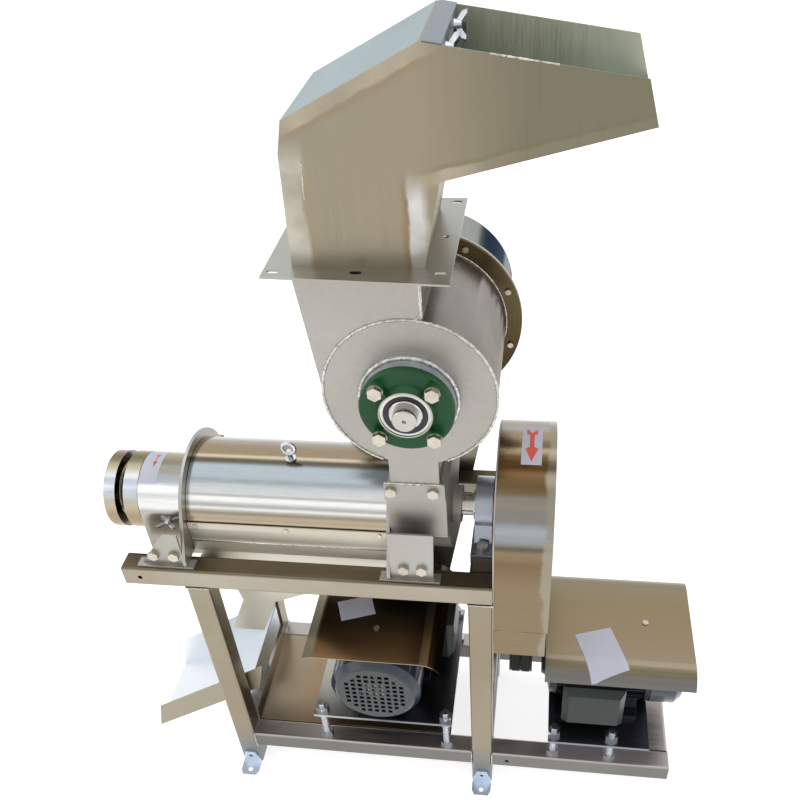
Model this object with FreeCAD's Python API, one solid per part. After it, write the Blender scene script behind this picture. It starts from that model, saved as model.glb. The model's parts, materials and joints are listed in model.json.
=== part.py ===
import FreeCAD, Part
import math
import os

os.makedirs("parts", exist_ok=True)

V = FreeCAD.Vector
X, Y, Z = V(1, 0, 0), V(0, 1, 0), V(0, 0, 1)

# Commercial juice extractor: a hopper feeds a hammer crusher, which drops the pulp
# into a horizontal screw press on a welded square-tube frame with two belt drives.
# Millimetres. Origin: floor, centre of the four anchor holes. The screw runs along X,
# the crusher rotor along Y.

# Frame
tube = 40.0
tube_wall = 2.0
tube_corner = 5.0
frame_height = 587.0
frame_depth = 300.0
leg_span = 486.0
rail_past_hood = 18.0
feed_to_leg = 54.0
cantilever = 342.0
lower_rail_top = 102.0
foot_plate_t = 4.0
foot_plate_w = 38.0
foot_upright = 40.0
foot_tread = 34.0
foot_taper = 9.0
anchor_hole_d = 9.0
anchor_from_leg = 22.0

# Fits and clearances
running_fit = 0.05
face_gap = 0.3

# Press
block_axis_height = 49.2
press_r = 98.0
sheet = 1.5
barrel_length = 343.0
end_plate_t = 6.0
end_plate_r = 114.0
end_plate_foot = 142.0
feed_width = 93.0
feed_wall = 3.0
screen_r = 72.0
screen_t = 2.0
hoop_t = 6.0
cover_side_drop = 7.7
trough_half = 84.0
trough_side_drop = 87.0
trough_step_drop = 46.0
trough_rim_rise = 19.0
trough_hem = 12.0
spout_length = 64.0
spout_half = 46.0
spout_drop = 149.0
spout_lip_drop = 237.0
spout_shift = 38.0
spout_from_plate = 34.0
knob_from_plate = 178.0
knob_angle = 81.0
tray_reach = 193.0
tray_low_z = 38.0
tray_slope = 33.5
flight_gap = 0.5
flight_t = 5.0
flight_pitch = 62.0
screw_core_r = 27.0
screw_core_end_r = 48.0
screw_shaft_d = 40.0
tail_d = 30.0
foot_strip_t = 4.0
foot_strip_l = 100.0

# Discharge end
sleeve_r = 60.0
sleeve_t = 4.0
hood_r = 68.0
hood_length = 93.0
ring_r = 68.5
outlet_ring_w = 26.0
outlet_mouth_r = 65.0
outlet_mouth_depth = 18.0
discharge_gap = 15.0
cone_cap_w = 21.0

# Crusher
crusher_from_plate = 48.0
crusher_rise = 297.8
crusher_r = 124.0
crusher_wall = 4.0
crusher_half = 106.0
neck_rise = 184.0
neck_drop = 192.0
collar_h = 28.0
collar_t = 3.0
neck_right = 23.0
neck_lean = 20.0
outlet_left = 40.0
outlet_right = 36.0
rear_flange_r = 149.0
rear_flange_t = 6.0
cover_screw_inset = 11.5
cover_screw_count = 9
crusher_shaft_d = 35.0
rotor_drum_r = 52.0
knife_reach_r = 110.0

# Four-bolt round flange bearing
flange_bearing_d = 135.0
flange_bearing_pcd = 110.0
flange_bearing_t = 11.0
flange_hub_r = 40.0
flange_hub_h = 22.0
bearing_mid = 12.0
front_pad_rise = 11.0
rear_pad_rise = 4.0
insert_od = 72.0
inner_ring_d = 48.0
front_boss_t = 23.0
rear_boss_t = 15.0
shaft_stub = 14.0

# Hopper
hopper_sheet = 2.0
hopper_front_y = -82.0
hopper_depth = 180.0
hopper_step_left = 4.0
hopper_step_right = 5.0
hopper_back_rise = 268.0
hopper_rim_rise = 226.0
hopper_rim_reach = 256.0
hopper_lip_rise = 175.0
hopper_lip_reach = 271.0
hopper_elbow_rise = 112.0
flange_front_left = 30.0
flange_front_right = 44.0
flange_overhang = 36.0
flange_strip_t = 3.0

# Screw drive
screw_pulley_r = 130.0
screw_motor_pulley_r = 46.0
screw_plate_rise = 57.2
guard_clear = 16.0
guard_width = 91.0
guard_back_t = 2.5
guard_seam_drop = 154.2
guard_low_drop = 217.2
guard_plate_drop = 306.2
skirt_step = 3.0
guard_sheet = 2.0
drive_plane = 49.0

# Crusher drive
crusher_pulley_r = 56.0
crusher_motor_pulley_r = 66.0
crusher_motor_offset = 101.0
crusher_plate_rise = 77.0
rear_guard_depth = 78.0
rear_guard_top_r = 128.0
rear_guard_low_r = 105.0

# Motors, frame size 90
motor_r = 86.0
motor_centre_h = 90.0
crusher_motor_l = 290.0
screw_motor_l = 265.0
fan_cover_l = 60.0
hood_boss_from_end = 76.0
terminal_drop = 8.0
motor_shaft_d = 24.0
motor_shaft_l = 50.0
motor_plate_t = 6.0
rod_d = 14.0
hood_t = 1.5

# Belts and pulleys
groove_pitch = 19.0
groove_depth = 13.0
groove_top = 16.0
groove_low = 11.0
belt_play = 0.6
pulley_w = 44.0

# Derived places
half_depth = frame_depth / 2
leg_l = -leg_span / 2
leg_m = leg_span / 2
rail_y = half_depth - tube / 2
lower_z = lower_rail_top - tube / 2
axis_z = frame_height + block_axis_height
feed_right = leg_m - feed_to_leg
feed_left = feed_right - feed_width
right_plate_x = feed_left - end_plate_t
barrel_left = right_plate_x - barrel_length
left_plate_x = barrel_left - end_plate_t
rail_left = left_plate_x - hood_length - rail_past_hood
guard_x = leg_m + tube / 2
guard_r = screw_pulley_r + guard_clear
pulley_mid_x = guard_x + drive_plane
belt_mid_y = half_depth + rear_guard_depth / 2 + guard_sheet / 2
crusher_x = feed_left + crusher_from_plate
crusher_z = axis_z + crusher_rise
neck_top_z = crusher_z + neck_rise
neck_bottom_z = crusher_z - neck_drop
front_bearing_y = crusher_half + front_boss_t
rear_bearing_y = crusher_half + rear_flange_t + rear_boss_t
hopper_left = crusher_x - crusher_r - neck_lean - hopper_step_left
hopper_right = crusher_x + neck_right + hopper_step_right
screw_motor_x = guard_x + guard_back_t + guard_width - 4.0
screw_motor_z = lower_rail_top + screw_plate_rise + motor_plate_t + motor_centre_h
screw_motor_drop = axis_z - screw_motor_z
crusher_motor_x = crusher_x - crusher_motor_offset
crusher_motor_y = half_depth - 10.0
crusher_motor_z = lower_rail_top + crusher_plate_rise + motor_plate_t + motor_centre_h


def save(node, *solids):
    """Write one node, a single solid or a group of separate solids."""
    flat = []
    for item in solids:
        flat.extend(item.Solids)
    shape = flat[0] if len(flat) == 1 else Part.makeCompound(flat)
    shape.exportStep("parts/" + node + ".step")
    print(node, len(flat), "solid(s)", round(shape.Volume / 1000.0, 1), "cm3")


def box(x0, x1, y0, y1, z0, z1):
    return Part.makeBox(x1 - x0, y1 - y0, z1 - z0, V(x0, y0, z0))


def rod_x(x0, x1, r, y=0.0, z=0.0):
    return Part.makeCylinder(r, x1 - x0, V(x0, y, z), X)


def rod_y(y0, y1, r, x=0.0, z=0.0):
    return Part.makeCylinder(r, y1 - y0, V(x, y0, z), Y)


def rod_z(z0, z1, r, x=0.0, y=0.0):
    return Part.makeCylinder(r, z1 - z0, V(x, y, z0), Z)


def fuse(shapes):
    result = shapes[0]
    if len(shapes) > 1:
        result = shapes[0].multiFuse(shapes[1:])
    return result.removeSplitter()


def face_of(points):
    """Planar face from corner points; three points in a tuple mark an arc's end."""
    edges = []
    last = points[0]
    for item in points[1:] + [points[0]]:
        if isinstance(item, tuple):
            mid, end = item
            edges.append(Part.Arc(last, mid, end).toShape())
            last = end
        else:
            if (item - last).Length > 1e-6:
                edges.append(Part.LineSegment(last, item).toShape())
            last = item
    return Part.Face(Part.Wire(edges))


def turned_x(profile, y=0.0, z=0.0):
    """Turned piece about an X axis from (x, radius) corners."""
    corners = [V(px, y, z + pr) for px, pr in profile]
    face = face_of(corners)
    return face.revolve(V(0, y, z), X, 360)


def turned_y(profile, x=0.0, z=0.0):
    """Turned piece about a Y axis from (y, radius) corners."""
    corners = [V(x, py, z + pr) for py, pr in profile]
    face = face_of(corners)
    return face.revolve(V(x, 0, z), Y, 360)


def hexagon(across, height, base, axis):
    """Hexagonal prism for bolt heads and nuts."""
    r = across / math.sqrt(3.0)
    side = X if abs(axis.dot(X)) < 0.5 else Y
    other = axis.cross(side)
    ring = []
    for i in range(6):
        a = math.radians(60 * i + 30)
        ring.append(base + side * (r * math.cos(a)) + other * (r * math.sin(a)))
    return face_of(ring).extrude(axis * height)


def bolt(head_base, axis, shank_r, across, head_h, shank_l):
    """Hex bolt: the head stands on head_base along axis, the shank goes the other way."""
    head = hexagon(across, head_h, head_base, axis)
    shank = Part.makeCylinder(shank_r, shank_l, head_base, axis * -1)
    return head.fuse(shank)


def square_tube(p0, p1, capped=True):
    """Square tube between two points along X, Y or Z, with drain holes where capped."""
    run = p1 - p0
    length = run.Length
    h, w, c = tube / 2, tube_wall, tube_corner

    def section(half, radius):
        k = radius * (1 - math.sqrt(0.5))
        a, b, m = half, half - radius, half - k
        return face_of([
            V(-b, -a, 0), V(b, -a, 0), (V(m, -m, 0), V(a, -b, 0)),
            V(a, b, 0), (V(m, m, 0), V(b, a, 0)),
            V(-b, a, 0), (V(-m, m, 0), V(-a, b, 0)),
            V(-a, -b, 0), (V(-m, -m, 0), V(-b, -a, 0)),
        ])

    outer = section(h, c).extrude(Z * length)
    inner = section(h - w, c - w).extrude(Z * (length - 2 * w if capped else length))
    if capped:
        inner.translate(Z * w)
    body = outer.cut(inner)
    if capped:
        drain = Part.makeCylinder(4.0, 4 * w, V(0, -h + 2 * w, 3 * tube / 4), Y * -1)
        body = body.cut(drain)
    rotation = FreeCAD.Rotation(Z, run)
    body.Placement = FreeCAD.Placement(p0, rotation)
    return body


def both_sides(shape):
    """The shape and its mirror image across the XZ plane."""
    return [shape, shape.mirror(V(0, 0, 0), Y)]


# Frame

def build_frame():
    top_z = frame_height - tube / 2
    left, right = rail_left, leg_m + tube / 2
    rails = []
    for side in (-1, 1):
        rails.append(square_tube(V(left, side * rail_y, top_z), V(right, side * rail_y, top_z)))
    inner = rail_y - tube / 2
    rails.append(square_tube(V(leg_m, -inner, top_z), V(leg_m, inner, top_z), False))
    cross_z = frame_height - 3 * tube / 2
    rails.append(square_tube(V(leg_l, -inner, cross_z), V(leg_l, inner, cross_z), False))
    save("top_rails", *rails)

    legs = []
    for x in (leg_l, leg_m):
        for side in (-1, 1):
            top = V(x, side * rail_y, frame_height - tube)
            legs.append(square_tube(V(x, side * rail_y, 0), top))
    save("legs", *legs)

    lower = []
    for side in (-1, 1):
        y = side * rail_y
        lower.append(square_tube(V(leg_l + tube / 2, y, lower_z), V(leg_m - tube / 2, y, lower_z), False))
        lower.append(square_tube(V(leg_m + tube / 2, y, lower_z), V(right + cantilever, y, lower_z)))
    for x in (leg_l, leg_m, right + cantilever - tube / 2):
        lower.append(square_tube(V(x, -inner, lower_z), V(x, inner, lower_z), False))
    save("lower_rails", *lower)


def build_feet():
    plates = []
    for x in (leg_l, leg_m):
        w, t = foot_plate_w / 2, foot_plate_t
        front = -half_depth
        upright = face_of([
            V(x - w, front, 0), V(x + w, front, 0), V(x + w, front, t),
            V(x + w - foot_taper, front, foot_upright), V(x - w + foot_taper, front, foot_upright),
            V(x - w, front, t),
        ]).extrude(Y * -t)
        toe = front - foot_tread
        tread = face_of([
            V(x - w, front, 0), V(x + w, front, 0), V(x + w, toe + 10, 0), V(x + w - 5, toe, 0),
            V(x - w + 5, toe, 0), V(x - w, toe + 10, 0),
        ]).extrude(Z * t)
        plate = upright.fuse(tread).removeSplitter()
        plate = plate.cut(rod_z(-1, t + 1, anchor_hole_d / 2, x, front - anchor_from_leg))
        plate = plate.cut(rod_y(front - t - 1, front + 1, 4.0, x, foot_upright - 14))
        plates.extend(both_sides(plate))
    save("foot_plates", *plates)


def build_deck():
    x0, x1 = leg_l + tube / 2 + 1, crusher_x + 34
    y = rail_y - tube / 2
    t, lip, curb = 2.0, 18.0, 34.0
    top = box(x0, x1, -y, y, lower_rail_top - t, lower_rail_top)
    front = box(x0, x1, -y, -y + t, lower_rail_top - lip, lower_rail_top)
    back = box(x0, x1, y - t, y, lower_rail_top - lip, lower_rail_top)
    edge = box(x0, x0 + t, -y, y, lower_rail_top - t, lower_rail_top + curb)
    deck = fuse([top, front, back, edge])
    save("lower_deck", deck)


# Crusher

def crusher_outline(grow):
    """Side view of the crusher: barrel, leaning inlet neck and outlet neck, as one face."""
    r = crusher_r + grow
    left_top = crusher_x - crusher_r - neck_lean - grow
    left_low = crusher_x - r
    right = crusher_x + neck_right + grow
    y = 0.0
    inlet = face_of([
        V(left_low, y, crusher_z), V(left_top, y, neck_top_z), V(right, y, neck_top_z),
        V(right, y, crusher_z),
    ])
    outlet = face_of([
        V(crusher_x - outlet_left - grow, y, neck_bottom_z),
        V(crusher_x + outlet_right + grow, y, neck_bottom_z),
        V(crusher_x + outlet_right + grow, y, crusher_z),
        V(crusher_x - outlet_left - grow, y, crusher_z),
    ])
    disc = Part.Face(Part.Wire(Part.makeCircle(r, V(crusher_x, y, crusher_z), Y)))
    return disc, inlet, outlet


def prism_y(face, y0, y1):
    solid = face.extrude(Y * (y1 - y0))
    solid.translate(Y * y0)
    return solid


def build_crusher_body():
    front, back = -crusher_half, crusher_half
    w = crusher_wall
    wall_back = back - rear_flange_t
    outer = fuse([prism_y(f, front + w, wall_back) for f in crusher_outline(0.0)])
    inner = fuse([prism_y(f, front + w, wall_back - w) for f in crusher_outline(-w)])
    barrel_bore = rod_y(front + w, back, crusher_r - w, crusher_x, crusher_z)
    neck_cut = box(-500, 500, front, back, neck_top_z - w - 1, neck_top_z + 1)
    throat = fuse([prism_y(f, front + w, wall_back - w) for f in crusher_outline(-w)[1:]])
    throat_up = throat.copy()
    throat_up.translate(Z * w)
    ring = rod_y(wall_back, back, rear_flange_r, crusher_x, crusher_z)
    shell = outer.fuse(ring).cut(inner).cut(barrel_bore).cut(throat_up.common(neck_cut))
    drop = box(crusher_x - outlet_left + w, crusher_x + outlet_right - w,
               front + w, wall_back - w, neck_bottom_z - 1, crusher_z)
    shell = shell.cut(drop).removeSplitter()
    save("crusher_shell", shell)

    plate = fuse([prism_y(f, front, front + w) for f in crusher_outline(0.0)])
    seat_r, spigot_r = flange_bearing_d / 2, 46.0
    seat = turned_y([(front - front_boss_t, spigot_r), (front - front_boss_t, seat_r), (front - 7, seat_r),
                     (front - 7, seat_r + 5.5), (front, seat_r + 5.5), (front, spigot_r)],
                    crusher_x, crusher_z)
    hole = rod_y(front - 1, front + w + 1, 30.0, crusher_x, crusher_z)
    plate = plate.cut(hole).fuse(seat).removeSplitter()
    for pos in bearing_bolt_places():
        plate = plate.cut(rod_y(front - front_boss_t - 1, front, 6.2, pos[0], pos[1]))
    save("crusher_front_plate", plate)

    cover = rod_y(back, back + rear_flange_t, rear_flange_r, crusher_x, crusher_z)
    outer_face = back + rear_flange_t
    seat = turned_y([(outer_face, spigot_r), (outer_face, seat_r + 5.5), (outer_face + 7, seat_r + 5.5),
                     (outer_face + 7, seat_r), (rear_bearing_y, seat_r), (rear_bearing_y, spigot_r)],
                    crusher_x, crusher_z)
    hole = rod_y(back - 1, outer_face + 1, 30.0, crusher_x, crusher_z)
    cover = cover.cut(hole).fuse(seat).removeSplitter()
    for pos in bearing_bolt_places():
        cover = cover.cut(rod_y(outer_face, rear_bearing_y + 1, 6.2, pos[0], pos[1]))
    save("crusher_rear_cover", cover)

    a0, a1 = 215.0, 325.0
    r_out = crusher_r - crusher_wall - face_gap
    r_in = r_out - 3.0
    arc = rod_y(-crusher_half + 10, crusher_half - 14, r_out, crusher_x, crusher_z)
    arc = arc.cut(rod_y(-crusher_half, crusher_half, r_in, crusher_x, crusher_z))
    edge = []
    for a in (a0, a1):
        reach = 200.0
        edge.append(V(crusher_x + reach * math.cos(math.radians(a)), 0,
                      crusher_z + reach * math.sin(math.radians(a))))
    corner = V(crusher_x, 0, crusher_z - 230)
    wedge = prism_y(face_of([V(crusher_x, 0, crusher_z), edge[0], corner, edge[1]]),
                    -crusher_half, crusher_half)
    screen = arc.common(wedge)
    for row in range(5):
        angle = math.radians(a0 + 15 + row * (a1 - a0 - 30) / 4)
        direction = V(math.cos(angle), 0, math.sin(angle))
        for col in range(8):
            y = -crusher_half + 26 + col * 22
            start = V(crusher_x, y, crusher_z) + direction * (r_in - 5)
            screen = screen.cut(Part.makeCylinder(5.0, 12, start, direction))
    save("crusher_screen", screen)


def bearing_bolt_places():
    r = flange_bearing_pcd / 2
    return [(crusher_x + r * math.cos(math.radians(45 + 90 * i)),
             crusher_z + r * math.sin(math.radians(45 + 90 * i))) for i in range(4)]


def flange_bearing(side):
    """Cast housing and fixed outer ring of a round flange bearing; side is -1 front, 1 rear."""
    base = front_bearing_y if side < 0 else rear_bearing_y
    seat_depth = front_boss_t if side < 0 else rear_boss_t
    rise = front_pad_rise if side < 0 else rear_pad_rise
    t, d = flange_bearing_t, flange_bearing_d / 2
    hub, height = flange_hub_r, flange_hub_h
    bore = insert_od / 2
    body = turned_y([(base - 4, bore), (base - 4, 45.8), (base, 45.8), (base, d), (base + t - 2, d),
                     (base + t, d - 2), (base + t, hub + 3), (base + height, hub - 2),
                     (base + height, bore)], crusher_x, crusher_z)
    pads = []
    for px, pz in bearing_bolt_places():
        pads.append(rod_y(base + 1, base + t + rise, 11.0, px, pz))
        rib = Part.makeBox(24.0, t + rise - 3, 9.0, V(0, 0, -4.5))
        rib.rotate(V(0, 0, 0), Y, -math.degrees(math.atan2(pz - crusher_z, px - crusher_x)))
        rib.translate(V(crusher_x + (px - crusher_x) * 0.6, base + 1, crusher_z + (pz - crusher_z) * 0.6))
        pads.append(rib)
    body = body.multiFuse(pads)
    body = body.cut(rod_y(base - 5, base + height + 5, bore, crusher_x, crusher_z))
    for i in range(4):
        a = math.radians(90 * i)
        px = crusher_x + 54.0 * math.cos(a)
        pz = crusher_z + 54.0 * math.sin(a)
        body = body.cut(rod_y(base + 4, base + t + 1, 8.0, px, pz))
    for px, pz in bearing_bolt_places():
        body = body.cut(rod_y(base - 5, base + t + rise + 1, 6.2, px, pz))
    body = body.removeSplitter()

    mid = base + bearing_mid
    inner = inner_ring_d / 2 + face_gap
    ring = turned_y([(mid - 8.5, inner + 8), (mid - 8.5, bore), (mid + 8.5, bore), (mid + 8.5, inner + 8),
                     (mid + 6.5, inner), (mid - 6.5, inner)], crusher_x, crusher_z)
    shoulder = base + 0.5
    collar = base + (height if side < 0 else height + 8.0)
    turning = turned_y([(shoulder, crusher_shaft_d / 2), (shoulder, inner_ring_d / 2),
                        (collar - 1.4, inner_ring_d / 2), (collar, inner_ring_d / 2 - 1.4),
                        (collar, crusher_shaft_d / 2)], crusher_x, crusher_z)
    bolts = []
    for px, pz in bearing_bolt_places():
        bolts.append(bolt(V(px, base + t + rise, pz), Y, 6.0, 19.0, 8.0, t + rise + seat_depth - 2))
    pieces = [body, ring, turning] + bolts
    if side < 0:
        pieces = [p.mirror(V(0, 0, 0), Y) for p in pieces]
    return pieces[0], pieces[1], pieces[2], pieces[3:]


def build_crusher_bearings():
    housings, rings, turning, bolts = [], [], [], []
    for side in (-1, 1):
        body, ring, inner, screws = flange_bearing(side)
        housings.append(body)
        rings.append(ring)
        turning.append(inner)
        bolts.extend(screws)
    save("crusher_bearing_housings", *housings)
    save("crusher_inner_rings", *turning)
    return rings, bolts


def build_crusher_rotor():
    end = front_bearing_y + flange_hub_h + shaft_stub
    rear_end = belt_mid_y + 25.0
    r, core, tail = crusher_shaft_d / 2, 25.0, 15.0
    chamber = crusher_half - 12.0
    seat = belt_mid_y - 24.0
    shaft = turned_y([(-end, 0.0), (-end, r - 1.5), (-end + 1.5, r), (-front_bearing_y, r),
                      (-front_bearing_y, core), (rear_bearing_y, core), (rear_bearing_y, r), (seat, r),
                      (seat, tail), (rear_end - 1.5, tail), (rear_end, tail - 1.5), (rear_end, 0.0)],
                     crusher_x, crusher_z)
    shaft = shaft.cut(Part.makeCone(3.0, 0.5, 5.0, V(crusher_x, -end, crusher_z), Y))
    save("crusher_shaft", shaft)

    drum = turned_y([(-chamber, core), (-chamber, rotor_drum_r), (chamber, rotor_drum_r), (chamber, core)],
                    crusher_x, crusher_z)
    save("crusher_rotor_drum", drum)

    knives = []
    rows = 3
    columns = 8
    thick = 6.0
    step = (2 * chamber - 20.0) / (columns - 1)
    for row in range(rows):
        for col in range(columns):
            turn = 360.0 / rows * row + 15.0 * (col % 2)
            y = -chamber + 10.0 + col * step - thick / 2
            root, tip = rotor_drum_r - 2, knife_reach_r
            blade = face_of([V(-9, 0, root), V(9, 0, root), V(9, 0, tip - 14), V(-2, 0, tip),
                             V(-9, 0, tip)]).extrude(Y * thick)
            blade = blade.cut(rod_y(-1, thick + 1, rotor_drum_r, 0, 0))
            blade.rotate(V(0, 0, 0), Y, turn)
            blade.translate(V(crusher_x, y, crusher_z))
            knives.append(blade)
    save("crusher_knives", *knives)

    pulley = grooved_pulley(crusher_pulley_r, tail, pulley_w)
    pulley.rotate(V(0, 0, 0), Z, 90)
    pulley.translate(V(crusher_x, belt_mid_y, crusher_z))
    save("crusher_pulley", pulley)


# Pulleys and belts

def grooved_pulley(radius, bore_r, width, web=False):
    """Two-groove pulley about the X axis, centred on the origin."""
    half = width / 2
    top, low, deep = groove_top / 2, groove_low / 2, radius - groove_depth
    profile = [(-half, bore_r), (-half, radius)]
    for mid in (-groove_pitch / 2, groove_pitch / 2):
        profile += [(mid - top, radius), (mid - low, deep), (mid + low, deep), (mid + top, radius)]
    profile += [(half, radius), (half, bore_r)]
    body = turned_x(profile)
    if web:
        rim, hub = deep - 10.0, bore_r + 16.0
        for side in (-1, 1):
            hollow = turned_x([(side * half, hub), (side * half, rim), (side * 6.0, rim), (side * 6.0, hub)])
            body = body.cut(hollow)
        mid_r = (rim + hub) / 2
        for i in range(5):
            a = math.radians(72 * i + 36)
            body = body.cut(rod_x(-7, 7, (rim - hub) / 2 - 12.0, mid_r * math.sin(a), mid_r * math.cos(a)))
    return body


def belt_loop(r_top, r_low, drop, offset):
    """V-belt loop in the YZ plane: upper wheel at the origin, lower wheel drop below."""
    top = groove_top / 2 - belt_play
    low = groove_low / 2 - belt_play / 2
    inner_off, outer_off = -groove_depth + belt_play * 2, 1.0
    lean = math.asin((r_top - r_low) / drop)

    def section(r):
        return [V(offset - top, 0, r + outer_off), V(offset + top, 0, r + outer_off),
                V(offset + low, 0, r + inner_off), V(offset - low, 0, r + inner_off)]

    pieces = []
    upper = face_of(section(r_top))
    upper.rotate(V(0, 0, 0), X, math.degrees(lean) + 90)
    pieces.append(upper.revolve(V(0, 0, 0), X, -(180 + 2 * math.degrees(lean))))
    lower = face_of(section(r_low))
    lower.rotate(V(0, 0, 0), X, math.degrees(lean) + 90)
    loop = lower.revolve(V(0, 0, 0), X, 180 - 2 * math.degrees(lean))
    loop.translate(Z * -drop)
    pieces.append(loop)
    length = drop * math.cos(lean)
    for side in (-1, 1):
        run = face_of(section(r_top))
        run.rotate(V(0, 0, 0), X, 90 + math.degrees(lean))
        prism = run.extrude(V(0, math.sin(lean), -math.cos(lean)) * length)
        if side > 0:
            prism = prism.mirror(V(0, 0, 0), Y)
        pieces.append(prism)
    return fuse(pieces)


# Bearings of the screw

def build_pillow():
    x0 = leg_m - 1.0
    half_w, hub_w = 19.0, 15.0
    length, base_h = 184.0, 18.0
    z0 = frame_height
    r_hub, bore = 49.0, 40.0
    base = box(x0 - half_w, x0 + half_w, -length / 2, length / 2, z0, z0 + base_h)
    slopes = face_of([
        V(x0 - hub_w, -62, z0 + base_h - 1), V(x0 - hub_w, 62, z0 + base_h - 1),
        V(x0 - hub_w, r_hub - 4, axis_z + 6), V(x0 - hub_w, -r_hub + 4, axis_z + 6),
    ]).extrude(X * (2 * hub_w))
    hub = rod_x(x0 - hub_w, x0 + hub_w, r_hub, 0, axis_z)
    body = fuse([base, slopes, hub]).cut(rod_x(x0 - 30, x0 + 30, bore, 0, axis_z))
    bolts = []
    for side in (-1, 1):
        y = side * 73.0
        body = body.cut(rod_z(z0 - 1, z0 + base_h + 1, 6.5, x0, y))
        bolts.append(bolt(V(x0, y, z0 + base_h), Z, 6.0, 19.0, 8.0, base_h))
    save("pillow_block", body)
    inner = 26.0 + face_gap
    ring = turned_x([(x0 - 10, inner + 8), (x0 - 10, bore), (x0 + 10, bore), (x0 + 10, inner + 8),
                     (x0 + 8, inner), (x0 - 8, inner)], 0, axis_z)
    turning = turned_x([(x0 - 19, screw_shaft_d / 2), (x0 - 19, 26.0), (x0 + 19, 26.0),
                        (x0 + 19, screw_shaft_d / 2)], 0, axis_z)
    save("screw_inner_ring", turning)
    return ring, bolts


# Press

def arch(radius, low_z, x0, x1):
    """Inverted U prism along X about the screw axis, with straight sides down to low_z."""
    r = radius
    face = face_of([
        V(x0, -r, low_z), V(x0, r, low_z), V(x0, r, axis_z),
        (V(x0, 0, axis_z + r), V(x0, -r, axis_z)),
    ])
    return face.extrude(X * (x1 - x0))


def end_plate(x, bore):
    """Support plate: round over the barrel, flaring out to the rails at the foot."""
    r = end_plate_r
    low = frame_height + foot_strip_t
    angle = math.radians(22)
    ty, tz = r * math.cos(angle), r * math.sin(angle)
    face = face_of([
        V(x, -end_plate_foot, low), V(x, end_plate_foot, low), V(x, end_plate_foot, low + 12),
        V(x, ty, axis_z + tz), (V(x, 0, axis_z + r), V(x, -ty, axis_z + tz)),
        V(x, -end_plate_foot, low + 12),
    ])
    plate = face.extrude(X * end_plate_t)
    return plate.cut(rod_x(x - 1, x + end_plate_t + 1, bore, 0, axis_z))


def build_press_frame():
    left = end_plate(left_plate_x, sleeve_r)
    right = end_plate(right_plate_x, screen_r)
    save("press_end_plates", left, right)

    strips, gussets, bolts = [], [], []
    z0 = frame_height
    y_web = -end_plate_foot + 6.0
    spans = [(left_plate_x - 82.0, left_plate_x, left_plate_x - 26.0, 66.0, -1),
             (feed_left, feed_left + 74.0, feed_left + 74.0, 98.0, 1)]
    for x0, x1, x_top, high, way in spans:
        low = z0 + foot_strip_t
        lo_x, hi_x = (x0, x1 + 18.0) if way < 0 else (x0 - 18.0, x1 + 8.0)
        strip = box(lo_x, hi_x, y_web - 8.0, y_web + 8.0 + foot_strip_t, z0, low)
        lean_in = 34.0 if way < 0 else 8.0
        heel = face_of([
            V(x0 + 10, y_web + foot_strip_t, low), V(x1 - 10, y_web + foot_strip_t, low),
            V(x1 - 10, y_web + foot_strip_t, low + 34), V(x0 + lean_in, y_web + foot_strip_t, low + 34),
        ]).extrude(Y * foot_strip_t)
        strips.extend(both_sides(strip.fuse(heel).removeSplitter()))
        if way < 0:
            outline = [V(x0 + 8, y_web, low), V(x1, y_web, low), V(x1, y_web, low + high),
                       V(x_top, y_web, low + high)]
            holes = [x0 + 32.0, x1 - 14.0]
        else:
            outline = [V(x0, y_web, low), V(x1 - 4, y_web, low), V(x_top, y_web, low + high),
                       V(x0, y_web, low + high)]
            holes = [x0 + 22.0, x0 + 52.0]
        gusset = face_of(outline).extrude(Y * foot_strip_t)
        for hx in holes:
            gusset = gusset.cut(rod_y(y_web - 1, y_web + foot_strip_t + 1, 5.2, hx, low + 20.0))
            screw = bolt(V(hx, y_web, low + 20.0), Y * -1, 5.0, 17.0, 6.5, 2 * foot_strip_t)
            bolts.extend(both_sides(screw))
        gussets.extend(both_sides(gusset))
    cut_strips = []
    for strip in strips:
        for screw in bolts:
            strip = strip.cut(screw)
        cut_strips.append(strip)
    save("press_feet", *cut_strips)
    save("press_gussets", *gussets)
    return bolts


def build_cover():
    x0, x1 = barrel_left + 0.5, right_plate_x - 0.5
    low = axis_z - cover_side_drop
    outer = arch(press_r, low, x0, x1)
    inner = arch(press_r - sheet, low - 1, x0 - 1, x1 + 1)
    save("press_cover", outer.cut(inner))

    kx, angle = left_plate_x + knob_from_plate, math.radians(knob_angle)
    direction = V(0, -math.cos(angle), math.sin(angle))
    seat = V(kx, 0, axis_z) + direction * (press_r + 0.2)
    washer = Part.makeCylinder(9.0, 3.0, seat, direction)
    stem = Part.makeCylinder(4.5, 20.0, seat, direction)
    centre = seat + direction * 26.0
    ring = Part.makeTorus(10.5, 3.6, centre, Y)
    save("cover_knob", ring.fuse(stem).fuse(washer))


def build_screen():
    x0, x1 = barrel_left, right_plate_x
    parts = [rod_x(x0, x1, screen_r, 0, axis_z)]
    hoop_count, hoop_w = 5, 10.0
    step = (x1 - x0 - hoop_w) / (hoop_count - 1)
    for i in range(hoop_count):
        hx = x0 + i * step
        parts.append(rod_x(hx, hx + hoop_w, screen_r + hoop_t, 0, axis_z))
    bore = rod_x(x0 - 1, x1 + 1, screen_r - screen_t, 0, axis_z)
    save("press_screen", fuse(parts).cut(bore))


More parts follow.
